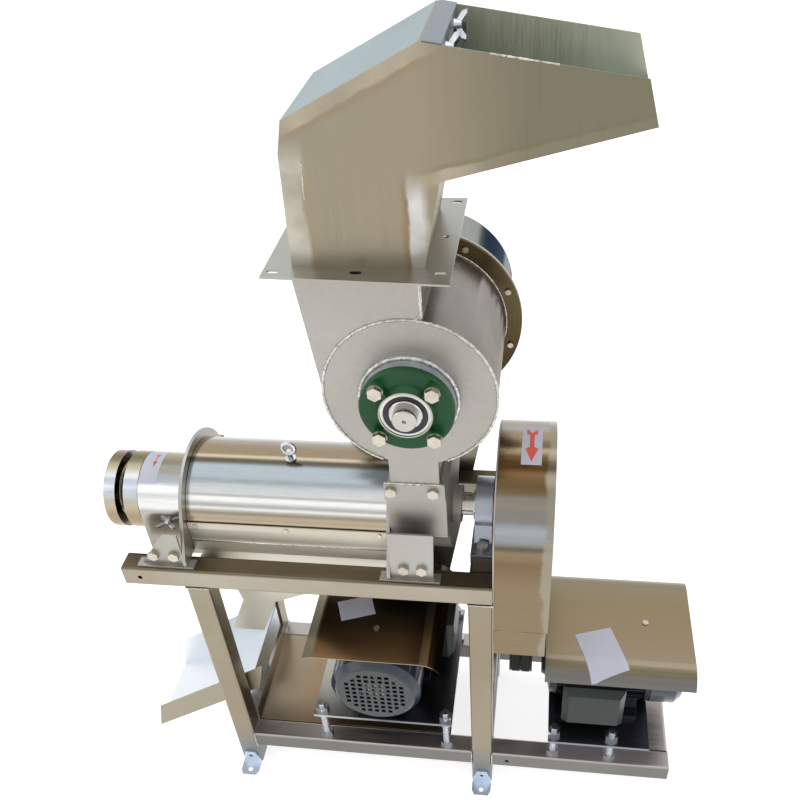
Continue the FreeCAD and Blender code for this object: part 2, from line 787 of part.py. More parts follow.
def build_trough():
    """Housing under the cover: wide side walls with a hem, a narrower floor pan and the spout."""
    x0, x1 = barrel_left + 0.5, right_plate_x - 0.5
    half, t = trough_half, sheet
    inside = press_r + face_gap
    top_z = axis_z + trough_rim_rise
    step_z = axis_z - trough_step_drop
    low_z = axis_z - trough_side_drop
    spout_x0 = barrel_left + spout_from_plate
    spout_x1 = spout_x0 + spout_length
    spout_z, lip_z = low_z - spout_drop, low_z - spout_lip_drop
    shift = spout_shift

    def wire(xa, xb, h, z):
        return Part.makePolygon([V(xa, -h, z), V(xb, -h, z), V(xb, h, z), V(xa, h, z), V(xa, -h, z)])

    outer = [
        box(x0, x1, -inside - t, inside + t, step_z, top_z),
        box(x0, x1, -half, half, low_z, step_z + t),
        Part.makeLoft([wire(spout_x0, x1, half, low_z), wire(spout_x0, spout_x1, spout_half, spout_z)], True),
        Part.makeLoft([wire(spout_x0, spout_x1, spout_half, spout_z),
                       wire(spout_x0 - shift, spout_x1 - shift, spout_half, lip_z)], True),
        box(x0, x1, -inside - 2 * t, inside + 2 * t, top_z - trough_hem, top_z),
    ]
    inner = [
        box(x0 + t, x1 - t, -inside, inside, step_z + t, top_z + 1),
        box(x0 - 1, x1 + 1, -inside, inside, axis_z - cover_side_drop - face_gap, top_z + 1),
        box(x0 + t, x1 - t, -half + t, half - t, low_z + t, step_z + t + 1),
        Part.makeLoft([wire(spout_x0 + t, x1 - t, half - t, low_z + t),
                       wire(spout_x0 + t, spout_x1 - t, spout_half - t, spout_z)], True),
        Part.makeLoft([wire(spout_x0 + t, spout_x1 - t, spout_half - t, spout_z),
                       wire(spout_x0 + t - shift - 1, spout_x1 - t - shift - 1,
                            spout_half - t, lip_z - 2)], True),
    ]
    clear_barrel = rod_x(x0 - 1, x1 + 1, screen_r + hoop_t + face_gap, 0, axis_z)
    trough = fuse(outer).cut(fuse(inner)).cut(clear_barrel).removeSplitter()
    save("juice_trough", trough)
    screws = []
    for sx in (x0 + 14.0, (x0 + x1) / 2, x1 - 14.0):
        head = rod_y(-inside - 2 * t - 2.6, -inside - 2 * t, 4.0, sx, top_z - trough_hem / 2)
        screws.extend(both_sides(head))
    return screws


def build_tray():
    """Sloping open channel that carries the juice out past the left legs."""
    x_low, z_low = leg_l - tube / 2 - tray_reach, tray_low_z
    x_high = barrel_left + spout_from_plate + 14.0
    slope = math.radians(tray_slope)
    z_high = z_low + (x_high - x_low) * math.tan(slope)
    y0, y1 = -105.0, 55.0
    t = sheet
    up, back_up = V(16.5, 0, 70.6), V(20.5, 0, 92.6)
    a, b = V(x_low, 0, z_low), V(x_high, 0, z_high)
    lift = V(0, 0, 1) * (t / math.cos(slope))
    floor = face_of([a, b, b + lift, a + lift]).extrude(Y * (y1 - y0))
    floor.translate(Y * y0)
    front = face_of([a, b, b + up, a + up]).extrude(Y * t)
    front.translate(Y * y0)
    head = V(b.x, 0, b.z + 150.0)
    back = face_of([a, b, head, V(b.x - 56.0, 0, head.z), V(b.x - 56.0, 0, b.z + 46.0),
                    a + back_up]).extrude(Y * t)
    back.translate(Y * (y1 - t))
    stop = box(b.x, b.x + t, y0, y1, b.z, b.z + 60.0)
    tray = fuse([floor, front, back, stop])
    leg_x = leg_l
    z_leg = z_low + (leg_x - x_low) * math.tan(slope)
    post_low = lower_rail_top
    posts = []
    for py in (-60.0, 10.0):
        post = box(leg_x - 12, leg_x + 12, py, py + 3.0, post_low, z_leg - 5)
        foot = face_of([V(leg_x - 12, py, z_leg - 9), V(leg_x + 12, py, z_leg - 9),
                        V(leg_x + 12, py, z_leg + 12 * math.tan(slope)),
                        V(leg_x - 12, py, z_leg - 12 * math.tan(slope))]).extrude(Y * 3.0)
        posts.append(post.fuse(foot).removeSplitter())
    save("juice_tray", fuse([tray] + posts))


def build_screw():
    """Auger: conical core and one flight whose pitch closes towards the discharge."""
    x0, x1 = barrel_left - 4.0, feed_right - feed_wall - 1.0
    outer_r = screen_r - screen_t - flight_gap
    tail_end = left_plate_x - hood_length - outlet_ring_w - discharge_gap - cone_cap_w - 1.0
    right_end = pulley_mid_x + 24.0
    r_shaft, r_tail = screw_shaft_d / 2, tail_d / 2
    core = turned_x([
        (tail_end, 0.0), (tail_end, r_tail), (left_plate_x - 6.0, r_tail), (left_plate_x - 6.0, r_tail + 6),
        (x0, screw_core_end_r - 10.0), (x0 + 20.0, screw_core_end_r), (x1, screw_core_r),
        (x1, r_shaft), (right_end, r_shaft), (right_end, 0.0),
    ], 0, axis_z)

    def core_r(x):
        k = (x - x0 - 20.0) / (x1 - x0 - 20.0)
        return screw_core_end_r + k * (screw_core_r - screw_core_end_r)

    turns, start = 6, x0 + 14.0
    flights = [core]
    pitches = [34.0, 42.0, 50.0, 58.0, flight_pitch + 4.0, flight_pitch + 10.0]
    for i in range(turns):
        pitch = pitches[i]
        if start + pitch > x1 - flight_t - 4.0:
            pitch = x1 - flight_t - 4.0 - start
        inner_r = core_r(start + pitch) - 3.0
        helix = Part.makeLongHelix(pitch, pitch, (inner_r + outer_r) / 2, 0, False)
        mid_r = (inner_r + outer_r) / 2
        half = (outer_r - inner_r) / 2
        section = Part.makePolygon([
            V(mid_r - half, 0, 0), V(mid_r + half, 0, 0), V(mid_r + half, 0, flight_t),
            V(mid_r - half, 0, flight_t), V(mid_r - half, 0, 0)])
        flight = Part.Wire(helix.Edges).makePipeShell([Part.Wire(section.Edges)], True, True)
        flight.rotate(V(0, 0, 0), Y, 90)
        flight.translate(V(start, 0, axis_z))
        flights.append(flight)
        start += pitch
    screw = flights[0]
    for flight in flights[1:]:
        screw = screw.fuse(flight)
    save("press_screw", screw)
    return tail_end


def build_discharge(tail_end):
    hood_x0 = left_plate_x - hood_length
    outer = arch(hood_r, frame_height - 40.0, hood_x0, left_plate_x)
    inner = arch(hood_r - 2.0, frame_height - 41.0, hood_x0 - 1, left_plate_x + 1)
    hood = outer.cut(inner)
    save("discharge_hood", hood)

    ring_x0 = hood_x0 - outlet_ring_w
    sleeve_end = barrel_left
    bore = sleeve_r - sleeve_t
    mouth = ring_x0 + outlet_mouth_depth
    sleeve = turned_x([(ring_x0, outlet_mouth_r), (ring_x0, ring_r), (hood_x0, ring_r), (hood_x0, sleeve_r),
                       (sleeve_end, sleeve_r), (sleeve_end, bore), (mouth, bore),
                       (mouth, outlet_mouth_r)], 0, axis_z)
    bush_x0 = hood_x0 + 20.0
    bush = rod_x(bush_x0, bush_x0 + 30.0, tail_d / 2 + 8.0, 0, axis_z)
    arms = []
    for i in range(3):
        arm = box(bush_x0 + 8, bush_x0 + 22, -3, 3, tail_d / 2 + 4, bore + 1)
        arm.rotate(V(0, 0, 0), X, 120 * i)
        arm.translate(Z * axis_z)
        arms.append(arm)
    bush = bush.multiFuse(arms)
    bush = bush.cut(rod_x(bush_x0 - 1, bush_x0 + 31, tail_d / 2 + running_fit, 0, axis_z))
    save("outlet_sleeve", sleeve.fuse(bush).removeSplitter())

    cap_right = ring_x0 - discharge_gap
    cap_left = cap_right - cone_cap_w
    r_tail = tail_d / 2 + running_fit
    cone = turned_x([
        (cap_left, ring_r - 4.0), (cap_left, ring_r), (cap_right, ring_r), (cap_right, bore - 4.0),
        (cap_right + 34.0, 27.0), (cap_right + 34.0, r_tail), (cap_right - 6.0, r_tail),
        (cap_right - 6.0, ring_r - 4.0),
    ], 0, axis_z)
    save("pressure_cone", cone)

    nut_x0 = cap_right - 6.0 - 13.0
    nut = hexagon(46.0, 12.7, V(nut_x0, 0, axis_z), X)
    nut = nut.cut(rod_x(nut_x0 - 1, nut_x0 + 14, tail_d / 2 + running_fit, 0, axis_z))
    save("adjusting_nut", nut)

    base = V(left_plate_x - 46.0, -hood_r, axis_z - 14.0)
    return [wing_fastener(base, Y * -1, X)]


def wing_fastener(base, axis, wing):
    """Wing nut: conical hub with two raised ears along the wing direction."""
    hub = Part.makeCone(7.0, 5.0, 9.0, base, axis)
    side = axis.cross(wing)
    ears = []
    for s in (-1, 1):
        p = base + wing * (s * 4.0)
        outline = [p + axis * 1.5, p + wing * (s * 12.0) + axis * 9.0, p + wing * (s * 14.0) + axis * 15.0,
                   p + wing * (s * 9.0) + axis * 15.0, p + axis * 8.5]
        ear = face_of([q + side * -1.6 for q in outline]).extrude(side * 3.2)
        ears.append(ear)
    return hub.multiFuse(ears)


# Feed box between crusher and press

def feed_outline(grow, x, top):
    r = screen_r + feed_wall + grow
    w = crusher_half + grow
    shoulder = axis_z + 22.0
    return face_of([
        V(x, -w, top), V(x, -w, shoulder), V(x, -r, axis_z), (V(x, 0, axis_z - r), V(x, r, axis_z)),
        V(x, w, shoulder), V(x, w, top),
    ])


def build_feed_box():
    x0, x1, w = feed_left, feed_right, feed_wall
    top = neck_bottom_z
    outer = feed_outline(0.0, x0, top).extrude(X * (x1 - x0))
    inner = feed_outline(-w, x0 + w, top - w).extrude(X * (x1 - x0 - 2 * w))
    nl, nr = crusher_x - outlet_left, crusher_x + outlet_right
    cw = crusher_wall
    back = crusher_half - rear_flange_t
    mouth = box(nl + cw, nr - cw, -crusher_half + cw, back - cw, top - w - 1, top + 1)
    feed = outer.cut(inner).cut(mouth)
    feed = feed.cut(rod_x(x0 - 1, x0 + w + 1, screen_r - 1.0, 0, axis_z))
    feed = feed.cut(rod_x(x1 - w - 1, x1 + 1, screw_shaft_d / 2 + running_fit, 0, axis_z))
    t = collar_t
    collar = box(nl - t, nr + t, -crusher_half - t, back + t, top, top + collar_h)
    collar = collar.cut(box(nl, nr, -crusher_half, back, top - 1, top + collar_h + 1))
    lap = box(x0 - t, x1 - 1, -crusher_half - t, -crusher_half, top - 6.0, top + collar_h)
    boss = rod_x(x1, x1 + 14.0, 32.0, 0, axis_z)
    boss = boss.cut(rod_x(x1 - 1, x1 + 15, screw_shaft_d / 2 + running_fit, 0, axis_z))
    feed = feed.fuse(collar).fuse(lap).fuse(boss).removeSplitter()
    bolts = []
    for bx in (crusher_x - 40.0, crusher_x + 26.0):
        bolts.append(bolt(V(bx, -crusher_half - t, top + collar_h / 2), Y * -1, 5.0, 17.0, 6.5, t))
    for screw in bolts:
        feed = feed.cut(screw)
    save("feed_box", feed)
    return bolts


# Hopper

def hopper_outline(grow):
    g = grow
    base = neck_top_z + flange_strip_t
    return [(hopper_left + g, base), (hopper_left + 5 + g, base + 146 - g * 0.4),
            (hopper_left + 14 + g, base + 186 - g),
            (hopper_right + 5 - g * 0.2, base + hopper_back_rise - g * 1.1),
            (hopper_right + hopper_rim_reach, base + hopper_rim_rise - g * 1.1),
            (hopper_right + hopper_lip_reach, base + hopper_lip_rise + g * 1.1),
            (hopper_right + 23 - g * 0.8, base + hopper_elbow_rise + g), (hopper_right - g, base)]


def build_hopper():
    t = hopper_sheet
    y0, y1 = hopper_front_y, hopper_front_y + hopper_depth
    base = neck_top_z + flange_strip_t

    def plate(points, ya, yb):
        return face_of([V(px, ya, pz) for px, pz in points]).extrude(Y * (yb - ya))

    solid = plate(hopper_outline(0.0), y0, y1)
    core = plate(hopper_outline(t), y0 + t, y1 - t)
    shell = solid.cut(core)
    shell = shell.cut(box(hopper_left + t, hopper_right - t, y0 + t, y1 - t, base - 1, base + 2))
    p_top = hopper_outline(0.0)[3]
    p_end = hopper_outline(0.0)[4]
    p_lip = hopper_outline(0.0)[5]
    x_bar = p_top[0] + 24.0
    slope = (p_end[1] - p_top[1]) / (p_end[0] - p_top[0])
    open_top = face_of([V(x_bar, 0, p_top[1] + 40), V(p_end[0] + 60, 0, p_end[1] + 60),
                        V(p_end[0] + 60, 0, p_lip[1] + t * 1.1), V(p_lip[0], 0, p_lip[1] + t * 1.1),
                        V(p_end[0] - 6, 0, p_end[1] - t * 3), V(x_bar, 0, p_top[1] - t * 4)])
    cutter = prism_y(open_top, y0 + t, y1 - t)
    shell = shell.cut(cutter).removeSplitter()
    save("hopper_body", shell)

    o = flange_overhang
    xl, xr, z_low = hopper_left - o, hopper_right + o, base - flange_strip_t
    strip = face_of([
        V(xl, y0 - flange_front_left, z_low), V(xr, y0 - flange_front_right, z_low),
        V(xr, y1 + o, z_low), V(xl, y1 + o, z_low),
    ]).extrude(Z * flange_strip_t)
    strip = strip.cut(box(hopper_left + t, hopper_right - t, y0 + t, y1 - t, base - 5, base + 1))
    mid_x = (hopper_left + hopper_right) / 2
    mid_y = (y0 + y1) / 2
    for sx in (hopper_left - 22.0, mid_x, hopper_right + 22.0):
        for sy in (y0 - 15.0, y1 + 22.0):
            slot = box(sx - 4, sx + 4, sy - 4, sy + 4, base - 5, base + 1)
            for end_x in (sx - 4, sx + 4):
                slot = slot.fuse(rod_z(base - 5, base + 1, 4.0, end_x, sy))
            strip = strip.cut(slot)
    for sx in (hopper_left - 18.0, hopper_right + 18.0):
        strip = strip.cut(rod_z(base - 5, base + 1, 4.5, sx, mid_y))
    save("hopper_flange", strip)

    bar_low = p_top[1] - 74.0
    hinge_z = bar_low + 34.0
    hinge_x = x_bar + t + 5.0
    pin_r, ear = 3.0, 3.0
    bar = box(x_bar, x_bar + t, y0 + t, y1 - t, hinge_z + 6.0, p_top[1] + slope * 24.0 + t / 2)
    lip = prism_y(face_of([
        V(x_bar - 20, 0, p_top[1] + slope * 4.0), V(x_bar + t, 0, p_top[1] + slope * (24.0 + t)),
        V(x_bar + t, 0, p_top[1] + slope * (24.0 + t) + t), V(x_bar - 20, 0, p_top[1] + slope * 4.0 + t),
    ]), y0 + t, y1 - t)
    bar = bar.fuse(lip)
    for ya in (y0 + t, y1 - t - ear):
        bar = bar.fuse(box(x_bar, hinge_x + 6.0, ya, ya + ear, hinge_z - 6.0, hinge_z + 16.0))
    bar = bar.removeSplitter()
    bar = bar.cut(rod_y(y0, y1, pin_r + running_fit, hinge_x, hinge_z))
    save("hopper_crossbar", bar)

    flap_y0, flap_y1 = y0 + t + ear + face_gap, y1 - t - ear - face_gap
    flap = box(hinge_x - 1.5, hinge_x + 1.5, flap_y0, flap_y1, hinge_z - 108.0, hinge_z)
    flap = flap.fuse(rod_y(flap_y0, flap_y1, 4.5, hinge_x, hinge_z))
    flap = flap.fuse(rod_y(y0 + t + 0.3, y1 - t - 0.3, pin_r, hinge_x, hinge_z))
    save("splash_flap", flap)
    wings = []
    for wy in (mid_y - 48.0, mid_y + 48.0):
        wings.append(wing_fastener(V(x_bar + t, wy, hinge_z + 22.0), X, (Y * 0.6 + Z * 0.8)))
    return wings


# Guards

def build_screw_guard():
    t = guard_sheet
    x0 = guard_x + guard_back_t
    x1 = x0 + guard_width
    seam, low = axis_z - guard_seam_drop, axis_z - guard_low_drop
    upper = arch(guard_r, seam, x0, x1).cut(arch(guard_r - t, seam - 1, x0 - 1, x1 - t))
    end = x1 - skirt_step
    skirt = box(x0, end, -guard_r, guard_r, low, seam)
    skirt = skirt.cut(box(x0 - 1, end - t, -guard_r + t, guard_r - t, low - 1, seam + 1))
    skirt = skirt.cut(box(end - t - 1, end + 1, -36, 36, low - 1, low + 18))
    save("screw_guard", upper, skirt)
    plate = arch(guard_r, axis_z - guard_plate_drop, guard_x, x0)
    plate = plate.cut(rod_x(guard_x - 1, x0 + 1, screw_shaft_d / 2 + 8.0, 0, axis_z))
    save("guard_back_plate", plate)


def taper_loop(grow):
    """Outline of the rear guard: two circles joined by their common tangents."""
    r1, r2 = rear_guard_top_r + grow, rear_guard_low_r + grow
    a = V(crusher_x, 0, crusher_z)
    b = V(crusher_motor_x, 0, crusher_motor_z)
    run = b - a
    dist = run.Length
    run = run * (1.0 / dist)
    side = V(-run.z, 0, run.x)
    lean = math.asin((r1 - r2) / dist)
    points = []
    for s in (1, -1):
        n = side * (s * math.cos(lean)) + run * math.sin(lean)
        points.append((a + n * r1, b + n * r2))
    return face_of([points[0][0], points[0][1], (b + run * r2, points[1][1]), points[1][0],
                    (a - run * r1, points[0][0])])


def build_rear_guard():
    t = guard_sheet
    y0, y1 = half_depth, half_depth + rear_guard_depth
    shell = prism_y(taper_loop(0.0), y0 + t, y1).cut(prism_y(taper_loop(-t), y0 + t, y1 - t))
    front = prism_y(taper_loop(0.0), y0, y0 + t)
    front = front.cut(rod_y(y0 - 1, y0 + t + 1, flange_hub_r + 6.0, crusher_x, crusher_z))
    slot = [rod_y(y0 - 1, y0 + t + 1, 20.0, crusher_motor_x, crusher_motor_z + dz) for dz in (-25.0, 25.0)]
    slot.append(box(crusher_motor_x - 20, crusher_motor_x + 20, y0 - 1, y0 + t + 1,
                    crusher_motor_z - 25, crusher_motor_z + 25))
    for cutter in slot:
        front = front.cut(cutter)
    save("rear_guard_shell", shell)
    save("rear_guard_plate", front)


# Motors

def motor_pieces(length):
    """Frame-90 motor along +X from its drive face at the origin; the shaft points to -X."""
    r = motor_r
    shield_end = length - fan_cover_l - 10.0
    tail_end = length - fan_cover_l + 16.0
    shield = turned_x([(0, 30.0), (0, 46.0), (10, 52.0), (16, r - 6), (30, r - 2), (30, 30.0)])
    stator = rod_x(30, shield_end, r - 10)
    fins = []
    for i in range(28):
        angle = 360.0 / 28 * i
        fin = box(34, shield_end - 4, -1.5, 1.5, r - 14, r - 2)
        fin.rotate(V(0, 0, 0), X, angle)
        fins.append(fin)
    tail = turned_x([(shield_end, 0), (shield_end, r - 2), (tail_end - 8, r - 2), (tail_end, r - 20),
                     (tail_end, 0)])
    feet = []
    for side in (-1, 1):
        foot = face_of([
            V(60, side * 88, -motor_centre_h), V(60, side * 44, -motor_centre_h),
            V(60, side * 36, -motor_centre_h + 36), V(60, side * 60, -motor_centre_h + 40),
            V(60, side * 66, -motor_centre_h + 12), V(60, side * 88, -motor_centre_h + 10),
        ]).extrude(X * 126)
        feet.append(foot.cut(rod_x(0, length, r - 2)))
    boss = rod_z(r - 12, r + 5, 10.0, length - hood_boss_from_end, 0)
    body = fuse([shield, stator, tail, boss] + fins)
    body = body.cut(rod_x(-1, tail_end + 1, motor_shaft_d / 2 + running_fit))

    x_fan = tail_end
    cover_start = length - fan_cover_l
    cover = turned_x([(cover_start, r - 1.7), (cover_start, r), (length - 14, r), (length - 2, r - 10),
                      (length, r - 14), (length, 0.0), (length - 1.5, 0.0), (length - 1.5, r - 15),
                      (length - 3.5, r - 11.5), (length - 15, r - 1.7)])
    cells = []
    step, cell, grille_r = 13.0, 8.0, r - 24.0
    for i in range(-5, 6):
        for j in range(-5, 6):
            cy, cz = i * step, j * step
            if math.hypot(cy, cz) < grille_r:
                cells.append(box(length - 3, length + 1, cy - cell / 2, cy + cell / 2,
                                 cz - cell / 2, cz + cell / 2))
    holes = cells[0].multiFuse(cells[1:])
    cover = cover.cut(holes)

    hub = turned_x([(x_fan + 4, motor_shaft_d / 2 - 4), (x_fan + 4, 22.0), (x_fan + 34, 22.0),
                    (x_fan + 34, motor_shaft_d / 2 - 4)])
    blades = []
    for i in range(6):
        blade = box(x_fan + 8, x_fan + 32, -1.5, 1.5, 20.0, r - 14.0)
        blade.rotate(V(0, 0, 0), X, 60 * i)
        blades.append(blade)
    fan = fuse([hub] + blades)
    shaft_r = motor_shaft_d / 2
    shaft = turned_x([(-motor_shaft_l, 0), (-motor_shaft_l, shaft_r - 1), (-motor_shaft_l + 1, shaft_r),
                      (x_fan + 2, shaft_r), (x_fan + 2, shaft_r - 4), (x_fan + 36, shaft_r - 4),
                      (x_fan + 36, 0)])

    tb_x0, tb_x1 = 42.0, 152.0
    half = 56.0
    y_in, y_out = r - 6.0, r + 50.0
    neck = box(tb_x0 + 14, tb_x1 - 14, y_in - 12, y_in + 12, -half + 24, half - 10)
    tray_box = box(tb_x0, tb_x1, y_in + 12, y_out - 14, -half + 12, half)
    lid_low = Part.makePolygon([V(tb_x0 - 2, y_out - 14, -half + 10), V(tb_x1 + 2, y_out - 14, -half + 10),
                                V(tb_x1 + 2, y_out - 14, half + 2), V(tb_x0 - 2, y_out - 14, half + 2),
                                V(tb_x0 - 2, y_out - 14, -half + 10)])
    lid_top = Part.makePolygon([V(tb_x0 + 9, y_out, -half + 21), V(tb_x1 - 9, y_out, -half + 21),
                                V(tb_x1 - 9, y_out, half - 9), V(tb_x0 + 9, y_out, half - 9),
                                V(tb_x0 + 9, y_out, -half + 21)])
    lid = Part.makeLoft([lid_low, lid_top], True)
    terminal = fuse([neck, tray_box, lid])
    terminal.translate(Z * -terminal_drop)
    terminal = terminal.cut(rod_x(-10, length, r - 1.9)).cut(body)
    return body, cover, fan, shaft, terminal, feet


def place(shape, angle, at):
    piece = shape.copy()
    piece.rotate(V(0, 0, 0), Z, angle)
    piece.translate(at)
    return piece


def motor_plate(x0, x1, y0, y1, top, rod_places):
    plate = box(x0, x1, y0, y1, top - motor_plate_t, top)
    rods = []
    for rx, ry in rod_places:
        plate = plate.cut(rod_z(top - motor_plate_t - 1, top + 1, rod_d / 2 + 0.3, rx, ry))
        screw = rod_z(lower_rail_top, top + 22.0, rod_d / 2, rx, ry)
        upper = hexagon(22.0, 11.0, V(rx, ry, top), Z)
        under = hexagon(22.0, 11.0, V(rx, ry, top - motor_plate_t - 11.0), Z)
        foot = hexagon(22.0, 9.0, V(rx, ry, lower_rail_top), Z)
        rods.append(fuse([screw, upper, under, foot]))
    return plate, rods


def hood_profile(points, t):
    """Open sheet profile from its outer line, thickened by t below it."""
    outer = points
    inner = []
    for i, p in enumerate(points):
        before = points[max(i - 1, 0)]
        after = points[min(i + 1, len(points) - 1)]
        d = V(after[0] - before[0], 0, after[1] - before[1])
        d.normalize()
        inner.append((p[0] + d.z * t, p[1] - d.x * t))
    return outer + inner[::-1]


def build_motors():
    place_s = (0.0, V(screw_motor_x, 0, screw_motor_z))
    place_c = (-90.0, V(crusher_motor_x, crusher_motor_y, crusher_motor_z))
    body_s, cover_s, fan_s, shaft_s, terminal_s, feet_s = motor_pieces(screw_motor_l)
    body_c, cover_c, fan_c, shaft_c, terminal_c, feet_c = motor_pieces(crusher_motor_l)
    flip = terminal_s.mirror(V(0, 0, 0), Y)

    save("screw_motor_body", place(body_s, *place_s))
    save("screw_motor_rotor", place(shaft_s, *place_s), place(fan_s, *place_s))
    save("crusher_motor_body", place(body_c, *place_c))
    save("motor_fan_covers", place(cover_s, *place_s), place(cover_c, *place_c))
    save("crusher_motor_rotor", place(shaft_c, *place_c), place(fan_c, *place_c))
    save("terminal_boxes", place(flip, *place_s), place(terminal_c, *place_c))
    feet = [place(foot, *place_s) for foot in feet_s] + [place(foot, *place_c) for foot in feet_c]
    save("motor_feet", *feet)

    small = grooved_pulley(screw_motor_pulley_r, motor_shaft_d / 2, pulley_w)
    save("screw_motor_pulley", place(small, 0.0, V(pulley_mid_x, 0, screw_motor_z)))
    drive = grooved_pulley(crusher_motor_pulley_r, motor_shaft_d / 2, pulley_w)
    save("crusher_motor_pulley", place(drive, 90.0, V(crusher_motor_x, belt_mid_y, crusher_motor_z)))
    big = grooved_pulley(screw_pulley_r, screw_shaft_d / 2, pulley_w, True)
    save("screw_pulley", place(big, 0.0, V(pulley_mid_x, 0, axis_z)))

    loops = []
    for off in (-groove_pitch / 2, groove_pitch / 2):
        loop = belt_loop(screw_pulley_r, screw_motor_pulley_r, screw_motor_drop, off)
        loop.translate(V(pulley_mid_x, 0, axis_z))
        loops.append(loop)
    save("screw_belts", *loops)
    run = V(crusher_motor_x - crusher_x, 0, crusher_motor_z - crusher_z)
    loops = []
    for off in (-groove_pitch / 2, groove_pitch / 2):
        loop = belt_loop(crusher_pulley_r, crusher_motor_pulley_r, run.Length, off)
        loop.rotate(V(0, 0, 0), Z, 90)
        loop.rotate(V(0, 0, 0), Y, math.degrees(math.atan2(-run.x, -run.z)))
        loop.translate(V(crusher_x, belt_mid_y, crusher_z))
        loops.append(loop)
    save("crusher_belts", *loops)

    rods = []
    x0, plate_l = screw_motor_x + 18.0, 190.0
    top = screw_motor_z - motor_centre_h
    plate_s, bars = motor_plate(x0, x0 + plate_l, -half_depth, half_depth, top,
                                [(x0 + dx, side * rail_y) for dx in (11.0, 120.0) for side in (-1, 1)])
    rods.extend(bars)
    top = crusher_motor_z - motor_centre_h
    left, right = crusher_motor_x - 131.0, crusher_motor_x + 142.0
    plate_c, bars = motor_plate(left, right, -half_depth + 5, half_depth - 4, top,
                                [(rx, side * rail_y) for rx in (left + 15, right - 13) for side in (-1, 1)])
    rods.extend(bars)
    save("motor_plates", plate_c, plate_s)
    save("plate_rods", *rods)
    build_hoods()


def build_hoods():
    t = hood_t
    boss_top = motor_r + 5.0
    hood_z = screw_motor_z + boss_top + t + 4.0
    half, drop, bend_r = 129.0, 28.0, 45.0
    turn = math.acos(1 - drop / bend_r)
    centre = half - bend_r * math.sin(turn)
    steps = 6
    points = []
    for i in range(steps + 1):
        a = turn * (1 - i / steps)
        points.append((-centre - bend_r * math.sin(a), -bend_r * (1 - math.cos(a))))
    for i in range(steps + 1):
        a = turn * i / steps
        points.append((centre + bend_r * math.sin(a), -bend_r * (1 - math.cos(a))))
    face = face_of([V(px, 0, pz) for px, pz in hood_profile(points, t)])
    hood_x = guard_x + guard_back_t + guard_width + 1.0
    hood = prism_y(face, 0, screw_motor_x + screw_motor_l + 8.0 - hood_x)
    hood.rotate(V(0, 0, 0), Z, -90)
    hood.translate(V(hood_x, 0, hood_z))
    save("screw_motor_hood", hood)
    post_s = screw_motor_x + screw_motor_l - hood_boss_from_end
    posts = [rod_z(screw_motor_z + boss_top, hood_z - t, 7.0, post_s, 0)]
    screws = [rod_z(hood_z, hood_z + 2.5, 5.5, post_s, 0)]

    hood_z = crusher_motor_z + boss_top + t + 8.0
    line = [(-128.0, -6.0), (-110.0, 0.0), (88.0, 0.0), (104.0, -3.0), (116.0, -10.0), (126.0, -22.0)]
    face = face_of([V(px, 0, pz) for px, pz in hood_profile(line, t)])
    hood = prism_y(face, -half_depth, half_depth - 50.0)
    hood.translate(V(crusher_motor_x, 0, hood_z))
    save("crusher_motor_hood", hood)
    post_c = crusher_motor_y - crusher_motor_l + hood_boss_from_end
    posts.append(rod_z(crusher_motor_z + boss_top, hood_z - t, 7.0, crusher_motor_x, post_c))
    screws.append(rod_z(hood_z, hood_z + 2.5, 5.5, crusher_motor_x, post_c))
    save("hood_posts", *(posts + screws))


def rear_cover_bolts():
    bolts = []
    count, r = cover_screw_count, rear_flange_r - cover_screw_inset
    for i in range(count):
        a = math.radians(360.0 / count * i + 23)
        px, pz = crusher_x + r * math.cos(a), crusher_z + r * math.sin(a)
        under_neck = pz < crusher_z and abs(px - crusher_x) < outlet_left + 10
        beside_inlet = pz > crusher_z and px < crusher_x + neck_right
        if not under_neck and not beside_inlet:
            bolts.append(hexagon(9.0, 4.0, V(px, crusher_half - rear_flange_t, pz), Y * -1))
        bolts.append(hexagon(9.0, 5.0, V(px, crusher_half + rear_flange_t, pz), Y))
    return bolts


build_frame()
build_feet()
build_deck()
build_crusher_body()
outer_rings, crusher_bolts = build_crusher_bearings()
build_crusher_rotor()
pillow_ring, pillow_bolts = build_pillow()
save("bearing_outer_rings", pillow_ring, *outer_rings)
foot_bolts = build_press_frame()
build_cover()
build_screen()
rim_screws = build_trough()
build_tray()
end_of_tail = build_screw()
wing_screws = build_discharge(end_of_tail)
box_bolts = build_feed_box()
hopper_wings = build_hopper()
save("wing_fasteners", *(wing_screws + hopper_wings))
save("crusher_bolts", *(crusher_bolts + rear_cover_bolts() + box_bolts))
save("press_bolts", *(foot_bolts + pillow_bolts + rim_screws))
build_screw_guard()
build_rear_guard()
build_motors()
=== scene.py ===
# %% [markdown]
# A commercial juice extractor stands on a welded frame of square tube. Fruit goes in
# at the top, a crusher tears it up, and a screw in a polished barrel presses it.
# The solids come from the part's own model. This script gives them edges, welds,
# threads on the rods and finishes, and lights them like a product photograph.

# %% Load the frame
import bpy
import bmesh
import json
import math
from mathutils import Matrix, Vector

